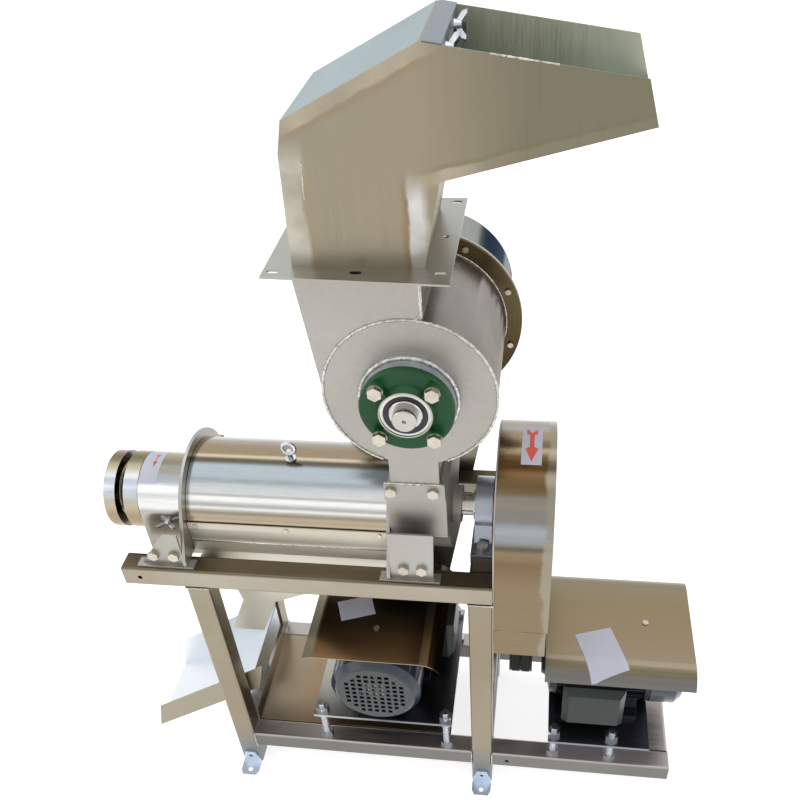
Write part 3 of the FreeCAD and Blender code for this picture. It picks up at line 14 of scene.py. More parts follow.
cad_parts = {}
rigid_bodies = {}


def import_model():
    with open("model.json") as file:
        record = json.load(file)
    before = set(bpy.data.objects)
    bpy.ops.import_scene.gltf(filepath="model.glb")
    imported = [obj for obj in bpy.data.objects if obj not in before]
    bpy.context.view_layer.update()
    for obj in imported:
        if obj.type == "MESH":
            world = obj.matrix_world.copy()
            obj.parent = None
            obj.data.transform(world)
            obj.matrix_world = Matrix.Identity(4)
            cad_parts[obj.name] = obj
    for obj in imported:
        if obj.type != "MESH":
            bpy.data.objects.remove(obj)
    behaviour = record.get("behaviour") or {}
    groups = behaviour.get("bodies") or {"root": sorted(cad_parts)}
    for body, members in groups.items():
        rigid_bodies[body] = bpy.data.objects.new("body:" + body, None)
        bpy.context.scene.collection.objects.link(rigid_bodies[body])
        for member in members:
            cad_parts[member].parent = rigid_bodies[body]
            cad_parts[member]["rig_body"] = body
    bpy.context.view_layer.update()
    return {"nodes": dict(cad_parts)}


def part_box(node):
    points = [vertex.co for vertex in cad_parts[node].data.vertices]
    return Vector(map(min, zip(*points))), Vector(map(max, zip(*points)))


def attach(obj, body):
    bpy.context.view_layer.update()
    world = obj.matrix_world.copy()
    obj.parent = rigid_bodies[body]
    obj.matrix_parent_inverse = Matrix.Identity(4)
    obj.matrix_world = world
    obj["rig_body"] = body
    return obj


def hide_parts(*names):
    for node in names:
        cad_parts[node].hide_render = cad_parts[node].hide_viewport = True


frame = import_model()
nodes = frame["nodes"]

# %% [markdown]
# The machine was seen from above and a little to the right, through an ordinary
# lens. The camera's place and turn were worked out from the straight edges of the
# frame, so every piece falls where the picture shows it.

# %% Camera
AZIMUTH, PITCH, ROLL = math.radians(9.63), math.radians(41.09), math.radians(3.81)
FOCAL_PX, IMAGE_PX, SENSOR = 871.68, 800.0, 36.0
CENTRE_PX = (423.84, 480.01)


def photo_camera():
    """Camera at the picture's own place, turn and framing."""
    forward = Vector((-math.sin(AZIMUTH) * math.cos(PITCH), math.cos(AZIMUTH) * math.cos(PITCH),
                      -math.sin(PITCH)))
    level = Vector((math.cos(AZIMUTH), math.sin(AZIMUTH), 0.0))
    down = forward.cross(level)
    right = level * math.cos(ROLL) + down * math.sin(ROLL)
    up = (level * -math.sin(ROLL) + down * math.cos(ROLL)) * -1.0
    data = bpy.data.cameras.new("photo_camera")
    data.sensor_width = SENSOR
    data.lens = FOCAL_PX * SENSOR / IMAGE_PX
    data.shift_x = -(CENTRE_PX[0] - IMAGE_PX / 2) / IMAGE_PX
    data.shift_y = (CENTRE_PX[1] - IMAGE_PX / 2) / IMAGE_PX
    data.clip_end = 100.0
    camera = bpy.data.objects.new("photo_camera", data)
    bpy.context.scene.collection.objects.link(camera)
    turn = Matrix((right, up, -forward)).transposed()
    camera.matrix_world = Matrix.Translation((0.3234, -1.0913, 1.651)) @ turn.to_4x4()
    bpy.context.scene.camera = camera
    return camera


camera = photo_camera()
print("lens", round(camera.data.lens, 2), "mm")

# %% [markdown]
# Steel shows what is round it, so a plain pale studio does most of the work. The
# surround and the floor are white to the camera and to mirrors, one large soft panel
# overhead gives the highlights, and two weaker ones fill the fronts.

# %% Light, floor and world
def soft_panel(name, place, aim, size, power, tint=(1.0, 1.0, 1.0)):
    """Rectangular studio light that points from place to aim."""
    data = bpy.data.lights.new(name, "AREA")
    data.shape = "RECTANGLE"
    data.size, data.size_y = size
    data.energy = power
    data.color = tint
    lamp = bpy.data.objects.new(name, data)
    bpy.context.scene.collection.objects.link(lamp)
    lamp.location = place
    lamp.rotation_mode = "QUATERNION"
    lamp.rotation_quaternion = (Vector(aim) - Vector(place)).to_track_quat("-Z", "Y")
    return lamp


def seen_directly(tree):
    """1 for camera, glossy and transmission rays, 0 for the rays that carry light."""
    path = tree.nodes.new("ShaderNodeLightPath")
    total = path.outputs["Is Camera Ray"]
    for label in ("Is Glossy Ray", "Is Transmission Ray"):
        add = tree.nodes.new("ShaderNodeMath")
        add.operation = "ADD"
        add.use_clamp = True
        tree.links.new(total, add.inputs[0])
        tree.links.new(path.outputs[label], add.inputs[1])
        total = add.outputs[0]
    return total


def pale_floor():
    """Wide floor that shows white and keeps a soft shadow."""
    mesh = bpy.data.meshes.new("studio_floor")
    far = 14.0
    mesh.from_pydata([(-far, -far, 0), (far, -far, 0), (far, far, 0), (-far, far, 0)], [], [(0, 1, 2, 3)])
    floor = bpy.data.objects.new("studio_floor", mesh)
    bpy.context.scene.collection.objects.link(floor)
    material = bpy.data.materials.new("floor_paint")
    material.use_nodes = True
    tree = material.node_tree
    shader = tree.nodes["Principled BSDF"]
    shader.inputs["Roughness"].default_value = 0.9
    shader.inputs["Specular IOR Level"].default_value = 0.1
    shader.inputs["Emission Color"].default_value = (1.0, 1.0, 1.0, 1.0)
    coords = tree.nodes.new("ShaderNodeTexCoord")
    cloud = tree.nodes.new("ShaderNodeTexNoise")
    cloud.inputs["Scale"].default_value = 1.5
    ramp = tree.nodes.new("ShaderNodeValToRGB")
    ramp.color_ramp.elements[0].color = (0.84, 0.84, 0.84, 1.0)
    ramp.color_ramp.elements[1].color = (0.86, 0.86, 0.86, 1.0)
    glow = tree.nodes.new("ShaderNodeMath")
    glow.operation = "MULTIPLY"
    glow.inputs[1].default_value = 0.72
    tree.links.new(coords.outputs["Object"], cloud.inputs["Vector"])
    tree.links.new(cloud.outputs["Fac"], ramp.inputs["Fac"])
    tree.links.new(ramp.outputs["Color"], shader.inputs["Base Color"])
    tree.links.new(seen_directly(tree), glow.inputs[0])
    tree.links.new(glow.outputs[0], shader.inputs["Emission Strength"])
    mesh.materials.append(material)
    return floor


def studio_world():
    """Plain pale surround, white where the camera or a mirror looks straight at it."""
    world = bpy.data.worlds.new("studio")
    world.use_nodes = True
    tree = world.node_tree
    tree.nodes.clear()
    light = tree.nodes.new("ShaderNodeBackground")
    light.inputs["Color"].default_value = (0.96, 0.98, 1.0, 1.0)
    light.inputs["Strength"].default_value = 0.62
    seen = tree.nodes.new("ShaderNodeBackground")
    seen.inputs["Color"].default_value = (1.0, 1.0, 1.0, 1.0)
    seen.inputs["Strength"].default_value = 1.0
    mix = tree.nodes.new("ShaderNodeMixShader")
    out = tree.nodes.new("ShaderNodeOutputWorld")
    tree.links.new(seen_directly(tree), mix.inputs["Fac"])
    tree.links.new(light.outputs["Background"], mix.inputs[1])
    tree.links.new(seen.outputs["Background"], mix.inputs[2])
    tree.links.new(mix.outputs["Shader"], out.inputs["Surface"])
    bpy.context.scene.world = world


bpy.context.scene.view_settings.view_transform = "Standard"
studio_world()
pale_floor()
soft_panel("overhead_panel", (0.0, 0.3, 3.6), (0.0, 0.0, 0.6), (4.2, 3.0), 28.0)
soft_panel("left_panel", (-2.6, -1.8, 2.0), (0.0, 0.0, 0.6), (1.6, 2.0), 10.0, (1.0, 0.97, 0.92))
soft_panel("right_panel", (2.8, -1.4, 1.8), (0.2, 0.0, 0.6), (1.2, 1.8), 6.0, (0.94, 0.97, 1.0))

# %% [markdown]
# Every finish starts from the same layers: a slow drift of the colour, a fine grain
# that runs one way, and a roughness that wanders a little. They are read from Object
# coordinates, so the grain stays on the metal when a piece moves. Small helpers for
# places and limits let one finish change along a seam or past an edge.

# %% Helpers for finishes
def new_finish(name, metallic, roughness):
    """Empty Principled material; returns it with its tree and shader."""
    material = bpy.data.materials.new(name)
    material.use_nodes = True
    tree = material.node_tree
    shader = tree.nodes["Principled BSDF"]
    shader.inputs["Metallic"].default_value = metallic
    shader.inputs["Roughness"].default_value = roughness
    return material, tree, shader


def calc(tree, operation, first, second=0.0, third=0.0, clamp=False):
    """Math node; each input is a socket or a number."""
    node = tree.nodes.new("ShaderNodeMath")
    node.operation = operation
    node.use_clamp = clamp
    for socket, value in zip(node.inputs, (first, second, third)):
        if isinstance(value, (int, float)):
            socket.default_value = value
        else:
            tree.links.new(value, socket)
    return node.outputs[0]


def dark_rim(material, tint):
    """Keep dark metal dark where it is seen at a low angle."""
    material.node_tree.nodes["Principled BSDF"].inputs["Specular Tint"].default_value = (*tint, 1.0)


def place_xyz(tree):
    """Object coordinates as three values."""
    coords = tree.nodes.new("ShaderNodeTexCoord")
    split = tree.nodes.new("ShaderNodeSeparateXYZ")
    tree.links.new(coords.outputs["Object"], split.inputs[0])
    return split.outputs[0], split.outputs[1], split.outputs[2]


def facing_xyz(tree):
    """The surface's own normal as three values."""
    coords = tree.nodes.new("ShaderNodeTexCoord")
    split = tree.nodes.new("ShaderNodeSeparateXYZ")
    tree.links.new(coords.outputs["Normal"], split.inputs[0])
    return split.outputs[0], split.outputs[1], split.outputs[2]


def object_noise(tree, scale, stretch=(1.0, 1.0, 1.0), detail=3.0):
    """Noise in Object coordinates; a small stretch value draws it out along that axis."""
    coords = tree.nodes.new("ShaderNodeTexCoord")
    mapping = tree.nodes.new("ShaderNodeMapping")
    mapping.inputs["Scale"].default_value = stretch
    texture = tree.nodes.new("ShaderNodeTexNoise")
    texture.inputs["Scale"].default_value = scale
    texture.inputs["Detail"].default_value = detail
    tree.links.new(coords.outputs["Object"], mapping.inputs["Vector"])
    tree.links.new(mapping.outputs["Vector"], texture.inputs["Vector"])
    return texture.outputs["Fac"]


def colour_ramp(tree, source, stops):
    """Colour ramp over a value; stops are (position, (r, g, b))."""
    ramp = tree.nodes.new("ShaderNodeValToRGB")
    elements = ramp.color_ramp.elements
    while len(elements) < len(stops):
        elements.new(0.5)
    for element, (position, colour) in zip(elements, sorted(stops)):
        element.position = position
        element.color = (*colour, 1.0)
    tree.links.new(source, ramp.inputs["Fac"])
    return ramp.outputs["Color"]


def value_range(tree, source, low, high, start=0.3, end=0.7):
    """A value stretched from start..end to low..high, held at both ends."""
    node = tree.nodes.new("ShaderNodeMapRange")
    node.inputs["From Min"].default_value = start
    node.inputs["From Max"].default_value = end
    node.inputs["To Min"].default_value = low
    node.inputs["To Max"].default_value = high
    tree.links.new(source, node.inputs["Value"])
    return node.outputs["Result"]


def blend_colours(tree, fac, first, second, mode="MIX"):
    """Mix of two colours; fac is a socket or a number."""
    node = tree.nodes.new("ShaderNodeMix")
    node.data_type = "RGBA"
    node.blend_type = mode
    if isinstance(fac, float):
        node.inputs[0].default_value = fac
    else:
        tree.links.new(fac, node.inputs[0])
    for socket, colour in ((node.inputs[6], first), (node.inputs[7], second)):
        if isinstance(colour, tuple):
            socket.default_value = (*colour, 1.0)
        else:
            tree.links.new(colour, socket)
    return node.outputs[2]


def surfaced(material, colour, rough, height, strength, distance):
    """Link colour, roughness and a bump from a height value."""
    tree = material.node_tree
    shader = tree.nodes["Principled BSDF"]
    tree.links.new(colour, shader.inputs["Base Color"])
    tree.links.new(rough, shader.inputs["Roughness"])
    bump = tree.nodes.new("ShaderNodeBump")
    bump.inputs["Strength"].default_value = strength
    bump.inputs["Distance"].default_value = distance
    tree.links.new(height, bump.inputs["Height"])
    tree.links.new(bump.outputs["Normal"], shader.inputs["Normal"])
    return material


print("finish helpers ready")

# %% [markdown]
# Satin stainless is cold-rolled sheet rubbed one way with an abrasive belt. The rub
# marks are hair-fine and long, so the noise has a high scale and is drawn out along
# them. A warm and a cool tone drift slowly over the sheet. Faces that look up take a
# tone of their own, painted light and shade from above: lighter on some sheets,
# darker on others.

# %% Satin stainless
def satin_colour(tree, warm, cool, upward_painted_light, stretch, rub):
    """Drifting tone with fine rub marks; returns the colour and the marks."""
    drift = object_noise(tree, 3.4, detail=4.0)
    marks = object_noise(tree, 420.0, stretch, detail=2.0)
    tone = colour_ramp(tree, drift, [(0.36, warm), (0.64, cool)])
    # Faces that look up take this tone: painted light and shade from above.
    if upward_painted_light:
        tone = blend_colours(tree, value_range(tree, facing_xyz(tree)[2], 0.0, 1.0, 0.3, 0.8), tone, upward_painted_light)
    streak = colour_ramp(tree, marks, [(0.3, (0.80, 0.80, 0.80)), (0.7, (1.0, 1.0, 1.0))])
    return blend_colours(tree, rub, tone, streak, "MULTIPLY"), marks


def satin_steel(name, warm, cool, roughness, stretch, upward_painted_light=None):
    """Belt-rubbed stainless sheet; stretch is small along the rub marks."""
    material, tree, shader = new_finish(name, 1.0, roughness)
    colour, marks = satin_colour(tree, warm, cool, upward_painted_light, stretch, 0.5)
    return surfaced(material, colour, value_range(tree, marks, roughness - 0.06, roughness + 0.08),
                    marks, 0.08, 0.0002)


ALONG_X, ALONG_Y, ALONG_Z = (0.03, 1.0, 1.0), (1.0, 0.03, 1.0), (1.0, 1.0, 0.03)
# The last colour given to a sheet is its up-facing tone, painted light and shade.
frame_steel = satin_steel("frame_steel", (0.36, 0.31, 0.24), (0.43, 0.395, 0.325), 0.34, ALONG_X, (0.15, 0.12, 0.08))
plate_steel = satin_steel("plate_steel", (0.38, 0.355, 0.31), (0.45, 0.44, 0.415), 0.36, ALONG_Y, (0.45, 0.44, 0.42))
back_sheet_steel = satin_steel("back_sheet_steel", (0.40, 0.35, 0.27), (0.46, 0.43, 0.38), 0.34, ALONG_Z)
flange_sheet_steel = satin_steel("flange_sheet_steel", (0.34, 0.31, 0.255), (0.44, 0.43, 0.405), 0.36, ALONG_X,
                                 (0.46, 0.46, 0.43))
crossbar_steel = satin_steel("crossbar_steel", (0.24, 0.28, 0.30), (0.30, 0.35, 0.385),
    0.38, ALONG_Y, (0.26, 0.30, 0.33))
shaft_steel = satin_steel("shaft_steel", (0.46, 0.42, 0.37), (0.56, 0.54, 0.51), 0.26, ALONG_Y)
ground_steel = satin_steel("ground_steel", (0.50, 0.49, 0.47), (0.60, 0.60, 0.60), 0.20, ALONG_Y)
dark_rim(frame_steel, (0.45, 0.40, 0.32))
print("satin finishes", 7)

# %% [markdown]
# The hopper is folded and welded sheet. Beside each weld the heat has drawn a brown
# line, and between that line and the edge the metal was ground back to a pale grey.
# A seam is a straight line on the sheet, so the distance to it drives both colours,
# with noise to make the line wander. Where the slanted cover panel over the throat
# faces up, it gets a blue-grey that is a painted reflection of the sky, and inside,
# where fruit passes, the steel has gone grey-green.

# %% Hopper sheet
def seam_heat(tree, colour, start, end, reach, pale, brown, fade=0.02):
    """Ground strip and brown line beside a seam in the XZ plane; reach is the strip's width."""
    x, _, z = place_xyz(tree)
    along = Vector((end[0] - start[0], end[1] - start[1]))
    length = along.length
    along.normalize()
    run = calc(tree, "ADD", calc(tree, "MULTIPLY", calc(tree, "SUBTRACT", x, start[0]), along.x),
               calc(tree, "MULTIPLY", calc(tree, "SUBTRACT", z, start[1]), along.y))
    off = calc(tree, "ADD", calc(tree, "MULTIPLY", calc(tree, "SUBTRACT", x, start[0]), -along.y),
               calc(tree, "MULTIPLY", calc(tree, "SUBTRACT", z, start[1]), along.x))
    wander = calc(tree, "MULTIPLY", calc(tree, "SUBTRACT", object_noise(tree, 30.0, detail=3.0), 0.5), reach * 0.55)
    off = calc(tree, "ADD", off, wander)
    inside = calc(tree, "MULTIPLY", value_range(tree, run, 0.0, 1.0, -fade, fade),
                  value_range(tree, run, 1.0, 0.0, length - fade, length + fade))
    strip = calc(tree, "MULTIPLY", value_range(tree, off, 1.0, 0.0, reach * 0.8, reach), inside)
    strip = calc(tree, "MULTIPLY", strip, value_range(tree, off, 0.0, 1.0, -reach * 0.6, 0.0))
    line = calc(tree, "MULTIPLY", value_range(tree, off, 0.0, 1.0, reach * 0.8, reach * 1.05),
                value_range(tree, off, 1.0, 0.0, reach * 1.1, reach * 1.5))
    line = calc(tree, "MULTIPLY", line, inside)
    patchy = value_range(tree, object_noise(tree, 19.0, detail=2.0), 0.35, 1.0, 0.35, 0.6)
    colour = blend_colours(tree, calc(tree, "MULTIPLY", strip, patchy), colour, pale)
    return blend_colours(tree, calc(tree, "MULTIPLY", line, 0.6), colour, brown)


SEAMS = (
    ((0.172, 1.10), (0.172, 1.228), 0.019, (0.58, 0.57, 0.55), (0.24, 0.145, 0.065)),
    ((0.443, 1.296), (0.185, 1.231), -0.014, (0.46, 0.39, 0.29), (0.24, 0.19, 0.115)),
    ((0.001, 1.267), (-0.004, 1.10), 0.030, (0.50, 0.47, 0.40), (0.33, 0.27, 0.18)),
    ((0.177, 1.389), (0.010, 1.307), 0.017, (0.43, 0.37, 0.27), (0.30, 0.22, 0.13)))


def hopper_finish():
    """Satin sheet with heat lines, a painted sky reflection on the slanted cover panel and a grey-green inside."""
    material, tree, shader = new_finish("hopper_steel", 1.0, 0.42)
    colour, marks = satin_colour(tree, (0.31, 0.26, 0.185), (0.29, 0.268, 0.205), None, ALONG_Z, 0.12)
    sheet = colour
    for seam in SEAMS:
        colour = seam_heat(tree, colour, *seam)
    fx, fy, fz = facing_xyz(tree)
    colour = blend_colours(tree, calc(tree, "GREATER_THAN", calc(tree, "ABSOLUTE", fy), 0.5), sheet, colour)
    reach = place_xyz(tree)[0]
    colour = blend_colours(tree, value_range(tree, reach, 0.0, 0.85, 0.17, 0.30), colour, (0.17, 0.155, 0.105))
    # The slanted panel where it faces up is painted blue-grey: a painted reflection of the sky.
    blue = colour_ramp(tree, object_noise(tree, 7.0, (1.0, 0.4, 1.0)), [(0.3, (0.30, 0.375, 0.395)),
        (0.7, (0.38, 0.47, 0.50))])
    sky_reflection_mask = calc(tree, "MULTIPLY", value_range(tree, calc(tree, "SUBTRACT", fz, fx), 0.0, 1.0, 0.75, 0.95),
                  value_range(tree, fz, 0.0, 1.0, 0.2, 0.4))
    colour = blend_colours(tree, sky_reflection_mask, colour, blue)
    _, y, _ = place_xyz(tree)
    within = calc(tree, "LESS_THAN", calc(tree, "ABSOLUTE", calc(tree, "SUBTRACT", y, 0.008)), 0.0893)
    side_wall = calc(tree, "GREATER_THAN", calc(tree, "ABSOLUTE", fy), 0.5)
    dull = colour_ramp(tree, object_noise(tree, 5.0, detail=4.0), [(0.35, (0.42, 0.43, 0.33)),
        (0.65, (0.66, 0.66, 0.54))])
    colour = blend_colours(tree, calc(tree, "MULTIPLY", within, side_wall), colour, dull)
    return surfaced(material, colour, value_range(tree, marks, 0.38, 0.50),
                    marks, 0.06, 0.0002)


hopper_steel = hopper_finish()
print("hopper nodes", len(hopper_steel.node_tree.nodes))

# %% [markdown]
# The legs are browner above, where the welder's heat and hands have been, and turn
# blue-grey near the foot. The lower rails are dark on their fronts; faces that look up
# on them are given a much lighter tone, which is painted light.

# %% Legs and lower rails
def leg_finish():
    """Square tube that turns blue-grey towards the foot."""
    material, tree, shader = new_finish("leg_steel", 1.0, 0.36)
    colour, marks = satin_colour(tree, (0.29, 0.24, 0.165), (0.34, 0.295, 0.215), None, ALONG_Z, 0.35)
    _, _, z = place_xyz(tree)
    cool = value_range(tree, calc(tree, "ADD", z, calc(tree, "MULTIPLY", object_noise(tree, 18.0), 0.05)),
        1.0, 0.0, 0.07, 0.16)
    colour = blend_colours(tree, cool, colour, (0.22, 0.235, 0.245))
    return surfaced(material, colour, value_range(tree, marks, 0.30, 0.42),
                    marks, 0.08, 0.0002)


leg_steel = leg_finish()
# The rails' up-facing tone (0.48, 0.44, 0.42) is painted light.
lower_rail_steel = satin_steel("lower_rail_steel", (0.175, 0.165, 0.15), (0.21, 0.20, 0.185),
    0.34, ALONG_X, (0.48, 0.44, 0.42))
print("tube finishes", 2)

# %% [markdown]
# Polished sheet rolled into a barrel shows long bands that run with the axis: a
# golden one on top, a blue-grey one below it, then pale lines.
# Those bands are reflections, and here they are painted into the colour: painted
# reflections, painted highlights and painted shade. The angle round the axis picks
# the colour, and a little noise drawn out along the barrel keeps the bands from being
# ruled lines.

# %% Painted reflection bands
def painted_reflection_steel(name, axis, centre, bands, roughness, wobble=1.5, along=(0.10, 1.0, 1.0), edge=None,
                 plain=(0.34, 0.30, 0.235)):
    """Polished steel with painted reflection bands; centre is the axis' place, bands are (degrees, colour).

    plain is the tone of flat ends, edge is the place on X, the width and the tone of a
    paler right edge. Degrees run from -180 to 180. For an axis along X, 0 is the front and 90 the top;
    for one along Y, 0 is the right and 90 the top.
    """
    material, tree, shader = new_finish(name, 1.0, roughness)
    x, y, z = place_xyz(tree)
    if axis == "X":
        level, side = calc(tree, "SUBTRACT", z, centre[1]), calc(tree, "SUBTRACT", centre[0], y)
    else:
        level, side = calc(tree, "SUBTRACT", z, centre[1]), calc(tree, "SUBTRACT", x, centre[0])
    turn = calc(tree, "MULTIPLY", calc(tree, "ARCTAN2", level, side), 180.0 / math.pi)
    drift = calc(tree, "MULTIPLY", calc(tree, "SUBTRACT", object_noise(tree, 9.0, along, 2.0), 0.5), wobble * 4.0)
    fac = calc(tree, "DIVIDE", calc(tree, "ADD", calc(tree, "ADD", turn, drift), 180.0), 360.0)
    colour = colour_ramp(tree, fac, [((degrees + 180.0) / 360.0, shade) for degrees, shade in bands])
    lines = object_noise(tree, 300.0, along, detail=3.0)
    streak = colour_ramp(tree, lines, [(0.3, (0.86, 0.86, 0.86)), (0.7, (1.0, 1.0, 1.0))])
    colour = blend_colours(tree, 0.6, colour, streak, "MULTIPLY")
    ends = calc(tree, "ABSOLUTE", facing_xyz(tree)["XYZ".index(axis)])
    colour = blend_colours(tree, value_range(tree, ends, 0.0, 1.0, 0.5, 0.7), colour, plain)
    if edge:
        where, width, pale = edge
        ragged = calc(tree, "ADD", x, calc(tree, "MULTIPLY", calc(tree, "SUBTRACT", object_noise(tree, 22.0),
            0.5), width))
        colour = blend_colours(tree, value_range(tree, ragged, 0.0, 0.75, where - width * 0.1,
            where + width * 0.1), colour, pale)
    return surfaced(material, colour, value_range(tree, lines, roughness, roughness + 0.08),
                    lines, 0.05, 0.0002)


SCREW_AXIS, CRUSHER_AXIS = (0.0, 0.6362), (0.144, 0.934)
# Band colours are painted reflections; WHITE is a painted highlight, SHADE and DARK are painted shade.
GOLD, BEIGE, STRAW, TAN = (0.37, 0.29, 0.19), (0.44, 0.38, 0.29), (0.56, 0.51, 0.41), (0.24, 0.18, 0.11)
BROWN, UMBER, RED_BROWN, OLIVE = (0.30, 0.25, 0.19), (0.18, 0.125, 0.07), (0.20, 0.11, 0.048), (0.12, 0.08, 0.035)
WHITE, SILVER, GREY, SHADE = (0.98, 0.98, 0.96), (0.70, 0.72, 0.70), (0.42, 0.41, 0.38), (0.25, 0.24, 0.21)
PALE_BLUE, BLUE, STEEL_BLUE, DARK = (0.60, 0.64, 0.66), (0.42, 0.44, 0.45), (0.30, 0.34, 0.37), (0.09, 0.085, 0.06)
cover_steel = painted_reflection_steel("cover_steel", "X", SCREW_AXIS, [
    (-60, BEIGE), (2, GREY), (6, STRAW), (9, BROWN), (12, BEIGE), (16, GOLD), (19, BEIGE), (22, BROWN),
    (25, STRAW), (27, WHITE),
    (30, GREY), (33, SILVER), (35, WHITE), (38, WHITE), (40, GREY), (42, SILVER), (50, PALE_BLUE), (53, BLUE),
    (56, STEEL_BLUE),
    (70, STEEL_BLUE), (74, DARK), (78, DARK), (79.5, GOLD), (82, STRAW), (84.5, GOLD), (97, GOLD), (111, GREY),
    (150, GOLD)], 0.15, 0.6)
outlet_steel = painted_reflection_steel("outlet_steel", "X", SCREW_AXIS, [
    (-60, BROWN), (1, GREY), (9, GREY), (14, SILVER), (26, WHITE), (34, SILVER), (40, WHITE), (46, WHITE),
    (51, PALE_BLUE),
    (57, STEEL_BLUE), (69, SHADE), (83, SHADE), (92, GOLD), (103, BEIGE), (122, GREY), (150, BLUE)], 0.18, 0.8)
ring_steel = painted_reflection_steel("ring_steel", "X", SCREW_AXIS, [
    (-60, (0.26, 0.20, 0.11)), (0, (0.34, 0.27, 0.16)), (20, (0.50, 0.44, 0.34)), (28, (0.62, 0.62, 0.62)),
    (45, (0.56, 0.62, 0.72)),
    (60, (0.60, 0.62, 0.64)), (72, (0.40, 0.36, 0.26)), (95, (0.22, 0.18, 0.10)), (120, (0.34, 0.29, 0.20)),
    (150, BLUE)], 0.18)
belt_guard_steel = painted_reflection_steel("belt_guard_steel", "X", SCREW_AXIS, [
    (-88, TAN), (-20, TAN), (3, UMBER), (12, TAN), (15, DARK), (18, SHADE), (21, STEEL_BLUE), (27, BLUE),
    (31, STEEL_BLUE),
    (33, SHADE), (40, SHADE), (43, BROWN), (48, SHADE), (51, UMBER), (56, OLIVE), (60, OLIVE), (63, RED_BROWN),
    (71, RED_BROWN), (75, OLIVE),
    (77, TAN), (80, GOLD), (83, UMBER), (87, TAN), (91, GOLD), (95, GOLD), (103, GREY), (114, TAN),
    (150, GOLD)], 0.20, 1.0,
                                edge=(0.343, 0.03, (0.31, 0.28, 0.22)))
drum_guard_steel = painted_reflection_steel("drum_guard_steel", "Y", CRUSHER_AXIS, [
    (-90, (0.42, 0.38, 0.31)), (-10, (0.46, 0.43, 0.39)), (5, (0.52, 0.48, 0.43)), (9, (0.30, 0.14, 0.10)),
    (14, (0.30, 0.15, 0.11)),
    (17, (0.46, 0.46, 0.41)), (25, (0.43, 0.43, 0.385)), (28, (0.035, 0.05, 0.068)), (47, (0.038, 0.053, 0.07)),
    (51, (0.12, 0.13, 0.10)),
    (54, (0.42, 0.43, 0.39)), (75, (0.44, 0.44, 0.40)), (100, (0.40, 0.39, 0.33)), (130, BLUE),
    (170, BEIGE)], 0.20, 2.0, (1.0, 0.10, 1.0))
dark_rim(drum_guard_steel, (0.42, 0.45, 0.50))
print("banded finishes", 5)

# %% [markdown]
# The crusher's shell is one weldment with three skins: a rubbed inlet neck, a
# brighter barrel, and an olive-gold ring at the back that was turned on a lathe. One
# material tells them apart by place. The front disc is a fine matt plate, and the
# boss welded on it is bluer.

# %% Crusher skins
def shell_finish():
    """Neck, barrel and rear ring of the crusher."""
    material, tree, shader = new_finish("shell_steel", 1.0, 0.30)
    neck, marks = satin_colour(tree, (0.38, 0.365, 0.34), (0.43, 0.42, 0.40), None, ALONG_Z, 0.12)
    x, y, z = place_xyz(tree)
    drift = object_noise(tree, 8.0, (1.0, 0.5, 1.0), 3.0)
    barrel = colour_ramp(tree, drift, [(0.34, (0.22, 0.198, 0.178)), (0.46, (0.30, 0.28, 0.26)),
        (0.62, (0.38, 0.36, 0.34)),
                                       (0.72, (0.25, 0.23, 0.21))])
    beside = calc(tree, "GREATER_THAN", x, 0.169)
    colour = blend_colours(tree, beside, neck, barrel)
    olive = colour_ramp(tree, object_noise(tree, 14.0), [(0.35, (0.085, 0.062, 0.03)), (0.65, (0.14, 0.105, 0.055))])
    colour = blend_colours(tree, calc(tree, "GREATER_THAN", y, 0.0993), colour, olive)
    return surfaced(material, colour, value_range(tree, marks, 0.26, 0.38),
                    marks, 0.05, 0.0002)


def disc_finish():
    """Matt front disc with a bluer boss and rub rings."""
    material, tree, shader = new_finish("disc_steel", 1.0, 0.46)
    colour, marks = satin_colour(tree, (0.365, 0.34, 0.305), (0.42, 0.395, 0.36), None, (0.5, 1.0, 0.5), 0.10)
    _, y, _ = place_xyz(tree)
    boss = calc(tree, "LESS_THAN", y, -0.1066)
    cloud = colour_ramp(tree, object_noise(tree, 24.0), [(0.3, (0.38, 0.42, 0.47)), (0.7, (0.60, 0.63, 0.67))])
    colour = blend_colours(tree, boss, colour, cloud)
    return surfaced(material, colour, value_range(tree, marks, 0.42, 0.54),
                    marks, 0.05, 0.0002)


shell_steel, disc_steel = shell_finish(), disc_finish()
dark_rim(shell_steel, (0.62, 0.60, 0.56))
print("crusher skins", 2)

# %% [markdown]
# Each sheet fades from one tone to another across itself, so a helper runs a
# ramp along an axis, with slow clouds on top. On the motor hoods the fade is painted
# reflection and shade, and the crusher hood's left skirt carries a painted highlight
# and its right skirt painted shade. The motor plates' light-to-dark fade is a painted
# reflection, the trough's pale bands and dark line are painted light and a painted
# shadow line, and the feed box is painted darker towards the bottom as shade.

